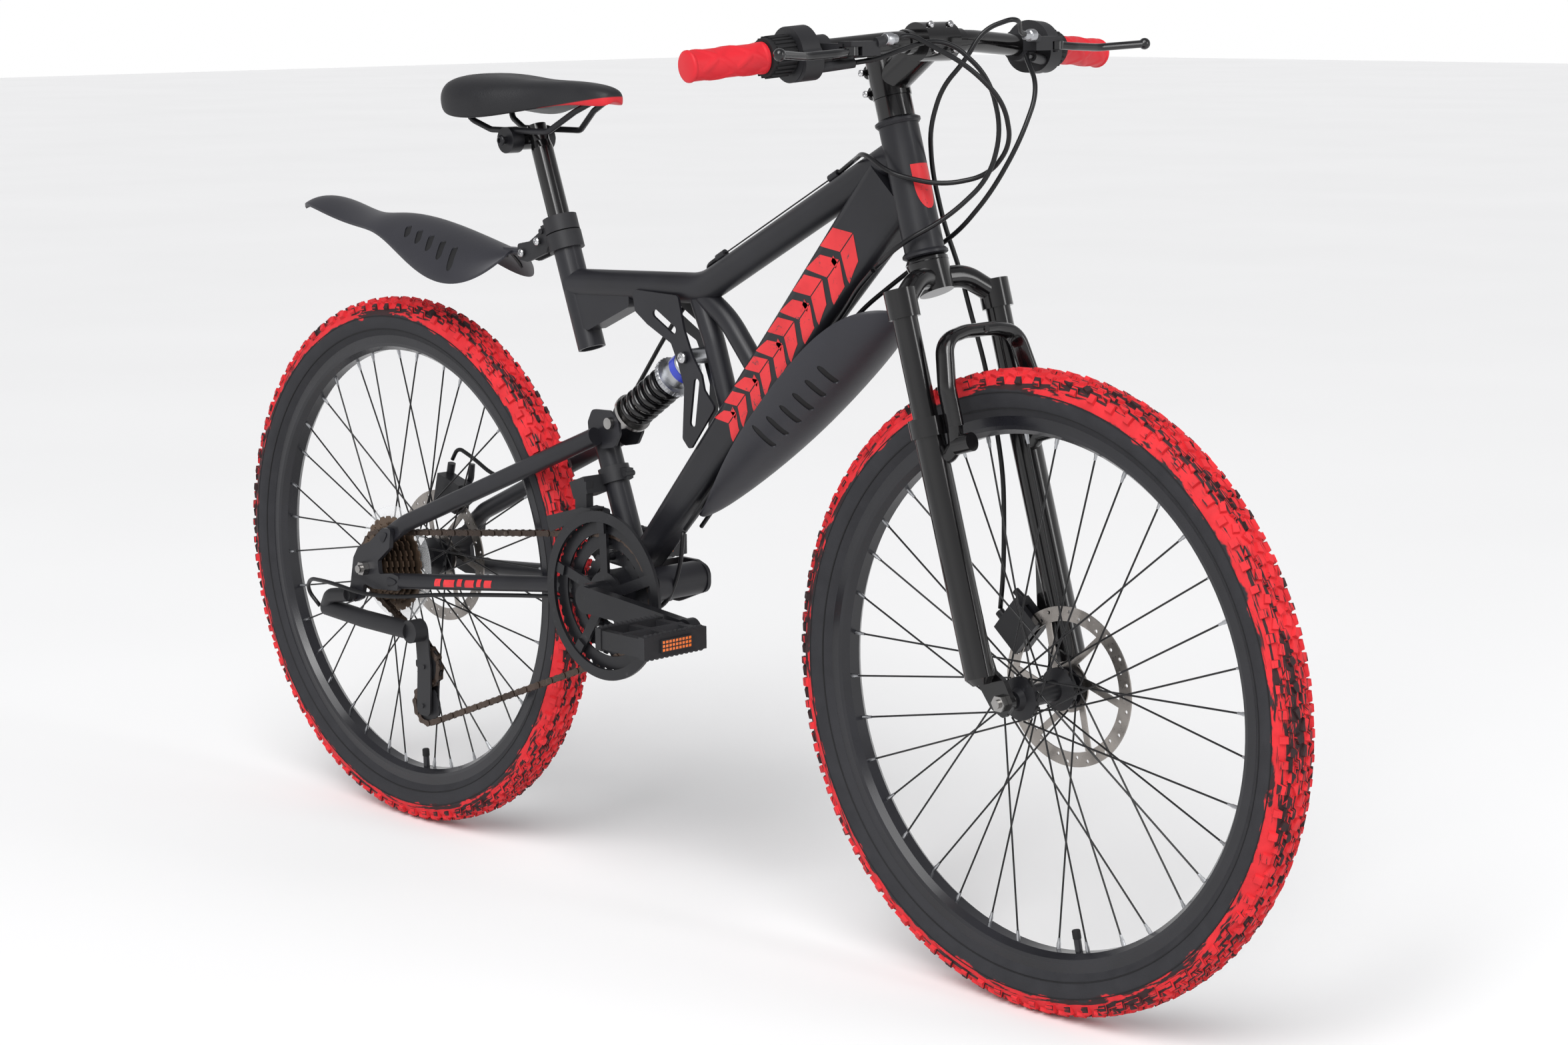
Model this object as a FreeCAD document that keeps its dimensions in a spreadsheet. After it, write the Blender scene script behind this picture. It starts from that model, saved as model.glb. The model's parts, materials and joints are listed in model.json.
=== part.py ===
import FreeCAD, Part
import math
import os

import Sketcher
from FreeCAD import Placement, Rotation, Vector

# Mountain bike.  X points forward, Y to the rider's left, Z up.  The origin lies on the ground,
# midway between the two hubs.  All sizes are in millimetres and in degrees.

X_AXIS = Vector(1, 0, 0)
Y_AXIS = Vector(0, 1, 0)
Z_AXIS = Vector(0, 0, 1)
SIDES = (("right", -1), ("left", 1))

DIMENSIONS = {
    "wheelbase": 1030,
    "tyre_radius": 326,
    "tyre_width": 48,
    "rim_inner_radius": 261,
    "rim_width": 30,
    "spoke_count": 36,
    "spoke_radius": 1.0,
    "axle_radius": 4.5,
    "rotor_radius": 82,
    "rotor_thickness": 1.8,
    "head_angle": 16.4,
    "head_tube_radius": 20.5,
    "head_tube_length": 129,
    "cup_height": 6.5,
    "steerer_radius": 12.7,
    "stanchion_radius": 12.7,
    "lower_leg_radius": 15.3,
    "leg_spacing": 68,
    "leg_offset": 19.5,
    "top_tube_radius": 17,
    "seat_tube_radius": 15.9,
    "seatpost_radius": 12.7,
    "down_tube_width": 36,
    "down_tube_low_height": 34,
    "down_tube_high_height": 74,
    "strut_radius": 12,
    "pivot_shell_radius": 19,
    "swing_tube_radius": 14.3,
    "suspension_room": 9,
    "bottom_bracket_radius": 20,
    "stay_radius": 10.5,
    "crank_length": 170,
    "large_ring_radius": 87,
    "middle_ring_radius": 71,
    "small_ring_radius": 50,
    "guard_radius": 96,
    "bar_radius": 11.1,
    "bar_clamp_radius": 12.7,
    "grip_radius": 15.5,
    "grip_length": 84,
    "cable_radius": 2.5,
    "wire_radius": 0.8,
    "spring_radius": 21,
    "spring_wire_radius": 3.6,
}


class Size:
    """A length and the sheet formula that gives it."""

    def __init__(self, value, formula):
        self.value = float(value)
        self.formula = formula

    def __float__(self):
        return self.value

    def joined(self, other, sign, value):
        other_formula = other.formula if isinstance(other, Size) else repr(float(other))
        return Size(value, "(%s %s %s)" % (self.formula, sign, other_formula))

    def __add__(self, other):
        return self.joined(other, "+", self.value + float(other))

    def __sub__(self, other):
        return self.joined(other, "-", self.value - float(other))

    def __mul__(self, other):
        return self.joined(other, "*", self.value * float(other))

    def __truediv__(self, other):
        return self.joined(other, "/", self.value / float(other))


doc = FreeCAD.newDocument("mountain_bike")
sheet = doc.addObject("Spreadsheet::Sheet", "Dimensions")
for row, (alias, number) in enumerate(DIMENSIONS.items(), start=1):
    sheet.set("A%d" % row, alias)
    sheet.set("B%d" % row, str(number))
    sheet.setAlias("B%d" % row, alias)
doc.recompute()

SIZE = {alias: Size(sheet.get(alias), "Dimensions." + alias) for alias in DIMENSIONS}
NODES = []


# ---------------------------------------------------------------- building blocks

def bind(item, name, amount):
    """Set a property, and tie it to the sheet when the amount comes from there."""
    setattr(item, name, float(amount))
    if isinstance(amount, Size):
        item.setExpression(name, amount.formula)


def facing(point, direction):
    """A placement whose own Z axis points along the direction."""
    return Placement(point, Rotation(Z_AXIS, direction))


def rod(name, start, end, radius):
    item = doc.addObject("Part::Cylinder", name)
    bind(item, "Radius", radius)
    item.Height = (end - start).Length
    item.Placement = facing(start, end - start)
    return item


def cone(name, start, end, start_radius, end_radius):
    item = doc.addObject("Part::Cone", name)
    bind(item, "Radius1", start_radius)
    bind(item, "Radius2", end_radius)
    item.Height = (end - start).Length
    item.Placement = facing(start, end - start)
    return item


def across(name, centre, low, high, radius):
    """A rod along Y through a centre, from one Y value to another."""
    start = Vector(centre.x, low, centre.z)
    return rod(name, start, start + Y_AXIS * (high - low), radius)


def block(name, centre, sizes, rotation=Rotation()):
    item = doc.addObject("Part::Box", name)
    for side, amount in zip(("Length", "Width", "Height"), sizes):
        bind(item, side, amount)
    half = Vector(*[float(amount) / 2 for amount in sizes])
    item.Placement = Placement(centre - rotation.multVec(half), rotation)
    return item


def cut(name, base, *tools):
    item = doc.addObject("Part::Cut", name)
    item.Base = base
    item.Tool = tools[0] if len(tools) == 1 else fuse(name + "_tools", *tools)
    return item


def fuse(name, *items):
    item = doc.addObject("Part::MultiFuse", name)
    item.Shapes = list(items)
    item.Refine = False
    return item


def group(name, *items):
    item = doc.addObject("Part::Compound", name)
    item.Links = list(items)
    return item


def mirrored(item):
    other = doc.addObject("Part::Mirroring", item.Name + "_mirrored")
    other.Source = item
    other.Normal = Y_AXIS
    return other


def pair(name, item):
    return group(name, item, mirrored(item))


def pipe(name, start, end, outer, inner):
    step = (end - start).normalize() * 2
    return cut(name, rod(name + "_outer", start, end, outer),
               rod(name + "_bore", start - step, end + step, inner))


def ring(name, centre, low, high, outer, inner):
    """A ring around the Y direction."""
    return cut(name, across(name + "_outer", centre, low, high, outer),
               across(name + "_hole", centre, low - 1, high + 1, inner))


def finish_node(item, label):
    item.Label = label
    NODES.append(item)
    return item


def rounded(points, radii=None, closed=False):
    """Straight runs joined by tangent arcs.  With no radii each arc is as large as its runs allow."""
    count = len(points)
    corners = range(count) if closed else range(1, count - 1)
    trims = {}
    for corner in corners:
        back = points[corner - 1] - points[corner]
        ahead = points[(corner + 1) % count] - points[corner]
        half_turn = (math.pi - back.getAngle(ahead)) / 2
        shorter = min(back.Length, ahead.Length)
        if radii is None:
            trim = 0.45 * shorter
        else:
            wanted = radii[corner] if isinstance(radii, (list, tuple)) else radii
            trim = min(wanted * math.tan(half_turn), 0.49 * shorter)
        if trim > 1e-6 and half_turn > 1e-4:
            arc_radius = trim / math.tan(half_turn)
            entry = points[corner] + back.normalize() * trim
            leave = points[corner] + ahead.normalize() * trim
            inward = (back + ahead).normalize()
            reach = arc_radius / math.cos(half_turn) - arc_radius
            trims[corner] = (entry, points[corner] + inward * reach, leave)
    edges = []
    for index in range(count if closed else count - 1):
        following = (index + 1) % count
        start = trims[index][2] if index in trims else points[index]
        end = trims[following][0] if following in trims else points[following]
        if (end - start).Length > 1e-6:
            edges.append(Part.LineSegment(start, end))
        if following in trims:
            edges.append(Part.Arc(*trims[following]))
    return edges


def bent(name, points, radius, bend=None):
    """A solid round bar along straight runs and tangent arcs."""
    section = doc.addObject("Part::Circle", name + "_section")
    bind(section, "Radius", radius)
    section.Placement = facing(points[0], points[1] - points[0])
    return swept(name, section, points, bend)


def swept(name, section, points, bend=None):
    """A solid bar of the given section along straight runs and tangent arcs."""
    route = doc.addObject("Part::Feature", name + "_route")
    route.Shape = Part.Wire([edge.toShape() for edge in rounded(points, bend)])
    item = doc.addObject("Part::Sweep", name)
    item.Sections = [section]
    item.Spine = (route, ["Edge%d" % (index + 1) for index in range(len(route.Shape.Edges))])
    item.Solid = True
    item.Frenet = False
    return item


def sketch_in(body, name, role="XZ_Plane"):
    sketch = body.newObject("Sketcher::SketchObject", name)
    plane = [item for item in body.Origin.OriginFeatures if item.Role == role][0]
    sketch.AttachmentSupport = [(plane, "")]
    sketch.MapMode = "FlatFace"
    return sketch


def lathe(name, start, direction, profile, bend=None):
    """A turned piece.  The profile lists its radius and its distance along the axis."""
    body = doc.addObject("PartDesign::Body", name)
    sketch = sketch_in(body, name + "_profile")
    corners = [Vector(float(radius), float(along), 0) for radius, along in profile]
    if bend is None:
        for index, corner in enumerate(corners):
            sketch.addGeometry(Part.LineSegment(corner, corners[(index + 1) % len(corners)]), False)
        for index in range(len(corners)):
            following = (index + 1) % len(corners)
            sketch.addConstraint(Sketcher.Constraint("Coincident", index, 2, following, 1))
        for index, (radius, along) in enumerate(profile):
            if isinstance(radius, Size):
                number = sketch.addConstraint(
                    Sketcher.Constraint("DistanceX", -1, 1, index, 1, float(radius)))
                sketch.setExpression("Constraints[%d]" % number, radius.formula)
            else:
                sketch.addConstraint(Sketcher.Constraint("Block", index))
    else:
        for edge in rounded(corners, bend, closed=True):
            sketch.addGeometry(edge, False)
    turned = body.newObject("PartDesign::Revolution", name + "_turned")
    turned.Profile = sketch
    turned.ReferenceAxis = (sketch, ["V_Axis"])
    turned.Angle = 360
    body.Placement = facing(start, direction)
    return body


def plate(name, outline, middle, thickness, bend=0.0, holes=()):
    """A flat plate in an XZ plane, its middle at the given Y, with round holes (x, z, radius)."""
    body = doc.addObject("PartDesign::Body", name)
    sketch = sketch_in(body, name + "_outline")
    corners = [Vector(x, z, 0) for x, z in outline]
    for edge in rounded(corners, bend, closed=True):
        sketch.addGeometry(edge, False)
    for x, z, radius in holes:
        number = sketch.addGeometry(Part.Circle(Vector(x, z, 0), Z_AXIS, float(radius)), False)
        if isinstance(radius, Size):
            fixed = sketch.addConstraint(Sketcher.Constraint("Radius", number, float(radius)))
            sketch.setExpression("Constraints[%d]" % fixed, radius.formula)
    pad = body.newObject("PartDesign::Pad", name + "_pad")
    pad.Profile = sketch
    bind(pad, "Length", thickness)
    pad.SideType = "Symmetric"
    body.Placement = Placement(Vector(0, middle, 0), Rotation())
    return body


def slot(name, start, end, radius, low, high):
    """A long round-ended cutter along Y."""
    ahead = (end - start).normalize()
    sideways = Vector(-ahead.z, 0, ahead.x) * radius
    first, second = start + sideways, end + sideways
    third, fourth = end - sideways, start - sideways
    outline = [(point.x, point.z) for point in (first, second, third, fourth)]
    middle = (low + high) / 2
    return fuse(name, plate(name + "_middle", outline, middle, high - low),
                across(name + "_start", start, low, high, radius),
                across(name + "_end", end, low, high, radius))


# ---------------------------------------------------------------- key places

HUB_HEIGHT = float(SIZE["tyre_radius"])
REAR_HUB = Vector(-float(SIZE["wheelbase"]) / 2, 0, HUB_HEIGHT)
FRONT_HUB = Vector(float(SIZE["wheelbase"]) / 2, 0, HUB_HEIGHT)
HEAD_BASE = Vector(358.2, 0, 751.6)
HEAD_LEAN = math.radians(float(SIZE["head_angle"]))
STEER_UP = Vector(-math.sin(HEAD_LEAN), 0, math.cos(HEAD_LEAN))
STEER_AHEAD = Vector(math.cos(HEAD_LEAN), 0, math.sin(HEAD_LEAN))


def steer(up, ahead=0.0, side=0.0):
    """A place given along the steering axis, ahead of it and to the left."""
    return HEAD_BASE + STEER_UP * up + STEER_AHEAD * ahead + Y_AXIS * side


SEAT_LOW = Vector(-166, 0, 617)
SEAT_HIGH = Vector(-219, 0, 761.5)
SEAT_UP = (SEAT_HIGH - SEAT_LOW).normalize()
SEAT_BACK = Vector(-SEAT_UP.z, 0, SEAT_UP.x)
PIVOT = Vector(-32, 0, 365)
CRANK = Vector(-83, 0, 350)
CRANK_DROP = 3.5
SWING_TOP = Vector(-149, 0, 527)
SHOCK_TOP = Vector(14, 0, 623)
SHOCK_LOW = Vector(-114, 0, 538)
SHOCK_DOWN = (SHOCK_LOW - SHOCK_TOP).normalize()
BAR = steer(203.5, 67.8)
BAR_END = Vector(330, 293, 948)
BAR_BEND = Vector(BAR.x, 55, BAR.z)


# ---------------------------------------------------------------- front frame

def rounded_section(centre, direction, width, height, corner):
    """A closed wire with rounded corners, its height square to the direction in the XZ plane."""
    ahead = Vector(direction).normalize()
    upward = Vector(-ahead.z, 0, ahead.x)
    corners = [centre + Y_AXIS * (y * width / 2) + upward * (h * height / 2)
               for y, h in ((-1, -1), (1, -1), (1, 1), (-1, 1))]
    return Part.Wire([edge.toShape() for edge in rounded(corners, corner, closed=True)])


def make_front_frame():
    tube_low = float(SIZE["cup_height"])
    tube_high = tube_low + float(SIZE["head_tube_length"])
    bore_radius = SIZE["head_tube_radius"] - 3.5
    head = pipe("head_tube_body", steer(tube_low), steer(tube_high),
                SIZE["head_tube_radius"], bore_radius)
    cup_outer = SIZE["head_tube_radius"] + 3
    cup_profile = ((13.2, 0), (21, 0), (cup_outer, 1.5), (cup_outer, 4), (21.5, 6.4), (13.2, 6.4))
    lower_cup = lathe("lower_cup", steer(0), STEER_UP, cup_profile)
    upper_cup = lathe("upper_cup", steer(tube_high + 6.5), STEER_UP * -1, cup_profile)
    finish_node(group("head_tube_group", head, lower_cup, upper_cup), "head_tube")

    head_tool = rod("head_tool", steer(tube_low), steer(tube_high), SIZE["head_tube_radius"])
    seat_tool = rod("seat_tool", SEAT_LOW, SEAT_HIGH, SIZE["seat_tube_radius"])
    top_low = Vector(-196, 0, 689)
    top_bend = Vector(28, 0, 698)
    top_high = steer(110)
    top_bar = bent("top_tube_bar", [top_low, top_bend, top_high], SIZE["top_tube_radius"], 90)
    slope = (top_high - top_bend).normalize()
    upward = Vector(-slope.z, 0, slope.x)
    stops = []
    stop_places = []
    for number, share in enumerate((0.12, 0.70)):
        place = top_bend + slope * ((top_high - top_bend).Length * share) + upward * 20.5
        stop_places.append(place)
        stops.append(cut("top_stop_%d" % number,
                         rod("top_stop_body_%d" % number, place - slope * 7, place + slope * 7, 4.4),
                         rod("top_stop_hole_%d" % number, place - slope * 8, place + slope * 8, 1.2)))
    top_plain = cut("top_tube_coped", top_bar, head_tool, seat_tool)
    finish_node(fuse("top_tube_welded", top_plain, *stops), "top_tube")

    low_point = Vector(-47, 0, 418)
    high_point = Vector(313, 0, 814)
    run = high_point - low_point
    width = float(SIZE["down_tube_width"])
    low_height = float(SIZE["down_tube_low_height"])
    high_height = float(SIZE["down_tube_high_height"])
    growth = (high_height - low_height) / run.Length
    ends = []
    for point, reach in ((low_point, -42), (high_point, 10)):
        height = (low_height if reach < 0 else high_height) + growth * reach
        centre = point + Vector(run).normalize() * reach
        ends.append(rounded_section(centre, run, width, height, 11))
    down_bar = doc.addObject("Part::Feature", "down_tube_bar")
    down_bar.Shape = Part.makeLoft(ends, True, True)
    pivot_tool = across("pivot_tool", PIVOT, -34, 34, SIZE["pivot_shell_radius"])
    shell_room = across("bottom_bracket_room", CRANK, -36, 36, 31)
    swing_room = rod("swing_tube_room", CRANK, SWING_TOP,
                     SIZE["swing_tube_radius"] + SIZE["suspension_room"])
    down_tube = cut("down_tube_coped", down_bar, head_tool, top_bar, pivot_tool, shell_room,
                    swing_room)
    pivot_shell = ring("pivot_shell_body", PIVOT, -34, 34, SIZE["pivot_shell_radius"], 8.05)
    finish_node(group("down_tube_group", down_tube, pivot_shell), "down_tube")

    seat_bar = pipe("seat_tube_body", SEAT_LOW, SEAT_HIGH, SIZE["seat_tube_radius"],
                    SIZE["seatpost_radius"] + 0.1)
    slit = block("seat_tube_slit", SEAT_HIGH + SEAT_BACK * 15 - SEAT_UP * 12, (14, 2.4, 44),
                 Rotation(Z_AXIS, SEAT_UP))
    gusset = cut("seat_gusset", plate("gusset_plate", [(-176, 646), (-158, 639), (-86, 671),
                                                       (-86, 690), (-190, 690)], 0, 26, 6),
                 top_bar, seat_tool)
    finish_node(fuse("seat_tube_welded", cut("seat_tube_slotted", seat_bar, slit), gusset),
                "seat_tube")

    strut_radius = SIZE["strut_radius"]
    front_strut = bent("front_strut", [Vector(10, 0, 700), Vector(64, 0, 667), Vector(114, 0, 610)],
                       strut_radius, 120)
    rear_strut = bent("rear_strut", [Vector(16, 0, 692), Vector(40, 0, 642), Vector(66, 0, 566)],
                      strut_radius, 120)
    front_coped = cut("front_strut_coped", front_strut, top_bar, down_bar)
    rear_coped = cut("rear_strut_coped", rear_strut, top_bar, down_bar, front_strut)
    finish_node(group("frame_struts_group", front_coped, rear_coped), "frame_struts")

    outline = [(-72, 692), (-67, 668), (-47, 655), (-8, 637), (3, 616), (13, 590), (9, 533),
               (21, 521), (62, 572), (45, 590), (41, 606), (26, 626), (13, 654), (4, 690)]
    cheek = plate("shock_cheek", outline, -18.9, 3, 5, holes=((SHOCK_TOP.x, SHOCK_TOP.z, 4.05),))
    windows = [slot("upper_window", Vector(-33, 0, 668), Vector(-4, 0, 652), 4.5, -22, -15),
               slot("lower_window", Vector(33, 0, 597), Vector(26, 0, 552), 4.5, -22, -15)]
    cheek_open = cut("shock_cheek_open", cheek, down_bar, *windows)
    bolt = across("shock_bolt", SHOCK_TOP, -24, 24, 4)
    heads = pair("shock_bolt_heads", across("shock_bolt_head", SHOCK_TOP, -24, -20.4, 6.5))
    finish_node(group("shock_mount_group", pair("shock_cheeks", cheek_open),
                      fuse("shock_bolt_whole", bolt, heads)), "shock_mount")
    return down_bar, stop_places, slope


def fender_shell(name, spine, half_widths, droops, thickness, upward=Z_AXIS):
    """A curved mudguard: at each spine point its edges lie lower than the middle by the droop."""
    outers = []
    for point, half_width, droop in zip(spine, half_widths, droops):
        lower = point - upward * droop
        inner_drop = upward * thickness
        left = lower + Y_AXIS * half_width
        right = lower - Y_AXIS * half_width
        crown = Part.Arc(right, point, left).toShape()
        under = Part.Arc(left - inner_drop, point - inner_drop, right - inner_drop).toShape()
        sides = [Part.LineSegment(left, left - inner_drop).toShape(),
                 Part.LineSegment(right - inner_drop, right).toShape()]
        outers.append(Part.Wire([crown, sides[0], under, sides[1]]))
    shell = doc.addObject("Part::Feature", name)
    shell.Shape = Part.makeLoft(outers, True, False)
    return shell


def make_fenders(down_bar):
    spine = [Vector(-699, 0, 757), Vector(-675, 0, 768), Vector(-610, 0, 758),
             Vector(-520, 0, 754), Vector(-420, 0, 744), Vector(-345, 0, 728), Vector(-300, 0, 722)]
    half_widths = [14, 30, 36, 44, 60, 56, 14]
    droops = [3, 8, 10, 18, 44, 42, 4]
    rear = fender_shell("rear_fender_shell", spine, half_widths, droops, 3)
    hinge = Vector(-274, 0, 720)
    tongue = block("rear_fender_tongue", hinge - X_AXIS * 24, (38, 11.4, 8))
    knuckle = across("rear_fender_knuckle", hinge, -5.7, 5.7, 9)
    knuckle_hole = across("rear_fender_knuckle_hole", hinge, -8, 8, 3.06)
    finish_node(cut("rear_fender_drilled", fuse("rear_fender_whole", rear, tongue, knuckle),
                    knuckle_hole), "rear_fender")

    tube_tool = rod("bracket_tube_tool", SEAT_LOW, SEAT_HIGH + SEAT_UP * 2, SIZE["seat_tube_radius"])
    collar_low = SEAT_HIGH - SEAT_UP * 16
    collar = rod("collar_ring", collar_low, SEAT_HIGH + SEAT_UP * 2, 19.8)
    ears = block("collar_ears", SEAT_HIGH + SEAT_BACK * 23 - SEAT_UP * 7, (10, 15, 14),
                 Rotation(Z_AXIS, SEAT_UP))
    collar_bolt = across("collar_bolt", SEAT_HIGH + SEAT_BACK * 24 - SEAT_UP * 7, -13, 13, 3.2)
    band = rod("fender_band", SEAT_HIGH - SEAT_UP * 37, collar_low - SEAT_UP * 1.5, 20.4)
    cheek = pair("fender_forks", plate("fender_fork", [(-284, 712), (-266, 710), (-232, 722),
                                                       (-222, 744), (-236, 750), (-262, 734),
                                                       (-284, 730)], -8.5, 4, 4))
    pin = across("fender_pin", hinge, -13, 13, 3)
    clamp_bolt = across("fender_clamp_bolt", Vector(-244, 0, 735), -14, 14, 3.2)
    spacer = across("fender_spacer", Vector(-244, 0, 735), -9, 9, 6)
    finish_node(cut("fender_bracket_whole",
                    fuse("fender_bracket_parts", collar, ears, collar_bolt, band, cheek, pin,
                         clamp_bolt, spacer),
                    tube_tool), "fender_bracket")

    low = Vector(20, 0, 447)
    high = Vector(328, 0, 690)
    run = high - low
    ahead = Vector(run).normalize()
    upward = Vector(-ahead.z, 0, ahead.x)
    shares = (0, 0.12, 0.3, 0.5, 0.7, 0.84, 0.95, 1)
    bellies = (0, 10, 17, 20, 18, 14, 8, 2)
    half_widths = (6, 24, 40, 50, 54, 52, 40, 20)
    lifts = (-2, -12, -30, -42, -46, -42, -28, -10)
    spine = [low + run * share - upward * belly for share, belly in zip(shares, bellies)]
    shield = fender_shell("shield_shell", spine, half_widths, lifts, 2.6, upward)
    posts = []
    for number, share in enumerate((0.33, 0.7)):
        base = low + run * share - upward * 16
        posts.append(rod("shield_bolt_%d" % number, base - upward * 2.5, base + upward * 3, 5))
        posts.append(rod("shield_post_%d" % number, base, base + upward * 45, 6))
    finish_node(cut("down_tube_fender_whole", fuse("shield_parts", shield, *posts), down_bar),
                "down_tube_fender")


# ---------------------------------------------------------------- seat

def make_seat():
    pivot = Vector(-276, 0, 850)
    post_top = SEAT_HIGH + SEAT_UP * 84
    post = rod("post_body", SEAT_HIGH - SEAT_UP * 90, post_top, SIZE["seatpost_radius"])
    neck = cone("post_neck", post_top, post_top + SEAT_UP * 8, SIZE["seatpost_radius"], 11)
    tip = rod("post_tip", post_top + SEAT_UP * 8, post_top + SEAT_UP * 28, 11)
    bridge = rod("post_bridge", post_top + SEAT_UP * 17, pivot, 9)
    head = across("post_head", pivot, -14, 14, 12)
    screw_hole = across("post_screw_hole", pivot, -15, 15, 4.06)
    finish_node(cut("seatpost_whole", fuse("seatpost_parts", post, neck, tip, bridge, head),
                    screw_hole), "seatpost")

    rail_points = [Vector(-140, -9, 898), Vector(-172, -14, 884), Vector(-208, -24, 861),
                   Vector(-310, -24, 861), Vector(-338, -30, 872), Vector(-350, -36, 893)]
    rail_radius = 3.5
    jaws = pair("clamp_jaws", across("clamp_jaw", pivot, -31, -14.4, 15))
    screw = across("clamp_screw", pivot, -37, 37, 4)
    rail_hole = pair("clamp_rail_holes", rod("clamp_rail_hole", Vector(-330, -24, 861),
                                             Vector(-220, -24, 861), rail_radius))
    clamp = cut("saddle_clamp_whole", fuse("clamp_parts", jaws, screw), rail_hole)
    rails = pair("saddle_rails_pair", bent("saddle_rail", rail_points, rail_radius, 16))
    finish_node(group("saddle_rails_group", clamp, rails), "saddle_rails")

    spine = [Vector(-116, 0, 905), Vector(-134, 0, 911), Vector(-185, 0, 918), Vector(-240, 0, 919),
             Vector(-300, 0, 921), Vector(-345, 0, 923), Vector(-372, 0, 918)]
    half_widths = [10, 18, 23, 39, 69, 72, 50]
    depths = [9, 17, 19, 30, 44, 40, 20]
    sections = []
    for point, half_width, depth in zip(spine, half_widths, depths):
        corners = [point + Y_AXIS * (y * half_width) - Z_AXIS * (z * depth)
                   for y, z in ((-0.55, 0), (0.55, 0), (1, 0.38), (0.97, 1), (-0.97, 1), (-1, 0.38))]
        sections.append(Part.Wire([edge.toShape() for edge in rounded(corners, None, True)]))
    pad = doc.addObject("Part::Feature", "saddle_pad_shape")
    pad.Shape = Part.makeLoft(sections, True, False)
    nose_end = rail_points[0] + (rail_points[0] - rail_points[1]).normalize() * 2
    tail_end = rail_points[-1] + (rail_points[-1] - rail_points[-2]).normalize() * 2
    room = pair("saddle_rail_room", bent("saddle_rail_tool",
                                         [nose_end] + rail_points[1:-1] + [tail_end],
                                         rail_radius + 0.2, 16))
    finish_node(cut("saddle_pad_whole", pad, room), "saddle_pad")


# ---------------------------------------------------------------- steering parts

def leg_place(up, sign):
    """A place on the middle line of a fork leg."""
    return steer(up, float(SIZE["leg_offset"]), sign * float(SIZE["leg_spacing"]))


def make_fork():
    radius = SIZE["stanchion_radius"]
    steerer = rod("steerer", steer(-30), steer(206), SIZE["steerer_radius"])
    race = cone("crown_race", steer(-6), steer(-0.5), 22.5, 19.5)
    hub = cone("crown_hub", steer(-38, 5), steer(-5), 18, 22)
    arms = []
    for side, sign in SIDES:
        arms.append(rod("collar_" + side, leg_place(-62, sign), leg_place(-33, sign), radius + 3.5))
        arms.append(bent("crown_arm_" + side, [steer(-23, 4, 0), steer(-25, 14, sign * 36),
                                               leg_place(-48, sign)], 11.5, 40))
    holes = [rod("collar_bore_" + side, leg_place(-36, sign), leg_place(-75, sign), radius)
             for side, sign in SIDES]
    finish_node(cut("fork_crown_whole", fuse("fork_crown_parts", steerer, race, hub, *arms),
                    *holes), "fork_crown")

    tubes = [pipe("stanchion_" + side, leg_place(-36, sign), leg_place(-300, sign), radius,
                  radius - 2) for side, sign in SIDES]
    finish_node(group("stanchions_group", *tubes), "stanchions")

    parts = []
    bores = []
    legs = []
    for side, sign in SIDES:
        top = leg_place(-168, sign)
        low = leg_place(-424, sign)
        leg = rod("lower_leg_" + side, low, top, SIZE["lower_leg_radius"])
        legs.append(leg)
        parts.append(leg)
        parts.append(cone("leg_foot_" + side, low, low - STEER_UP * 7, SIZE["lower_leg_radius"], 9))
        parts.append(rod("seal_collar_" + side, top - STEER_UP * 14, top + STEER_UP * 5,
                         SIZE["lower_leg_radius"] + 3.2))
        bores.append(rod("leg_bore_" + side, leg_place(-352, sign), leg_place(-150, sign),
                         radius + 0.06))
        outline = [(FRONT_HUB.x + ahead, FRONT_HUB.z + up)
                   for ahead, up in ((-34, 42), (2, 22), (15, 0), (2, -16), (-15, -8), (-34, 16))]
        parts.append(plate("dropout_" + side, outline, sign * 53.2, 6, 5))
        bores.append(across("dropout_hole_" + side, FRONT_HUB, sign * 53.2 - 4, sign * 53.2 + 4,
                            SIZE["axle_radius"] + 0.1))
        hook = bent("arch_hook_" + side, [steer(-176, 50, sign * 62), steer(-196, 46, sign * 61),
                                          steer(-204, 34, sign * 62), leg_place(-204, sign)], 8, 10)
        parts.append(hook)
        parts.append(rod("arch_boss_" + side, steer(-196, 46, sign * 61),
                         steer(-196, 66, sign * 59), 9.5))
    arch_half = [(-178, 50, 62), (-140, 50, 62), (-92, 50, 52), (-86, 50, 22)]
    arch_line = ([steer(up, ahead, -side) for up, ahead, side in arch_half]
                 + [steer(up, ahead, side) for up, ahead, side in reversed(arch_half)])
    band = doc.addObject("Part::Ellipse", "arch_section")
    band.MajorRadius = 11
    band.MinorRadius = 7
    band.Placement = Placement(arch_line[0], Rotation(STEER_AHEAD, Y_AXIS, STEER_UP, "ZXY"))
    parts.append(swept("arch", band, arch_line, 44))
    parts.append(rod("arch_stud", steer(-87, 56), steer(-87, 62), 3.5))
    tab = plate("caliper_tab", [(452, 452), (470, 466), (488, 420), (476, 376), (456, 386)], 64, 4, 4)
    parts.append(tab)
    finish_node(cut("fork_lowers_whole", fuse("fork_lowers_parts", *parts), *bores), "fork_lowers")
    return [legs[1], tab]


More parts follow.
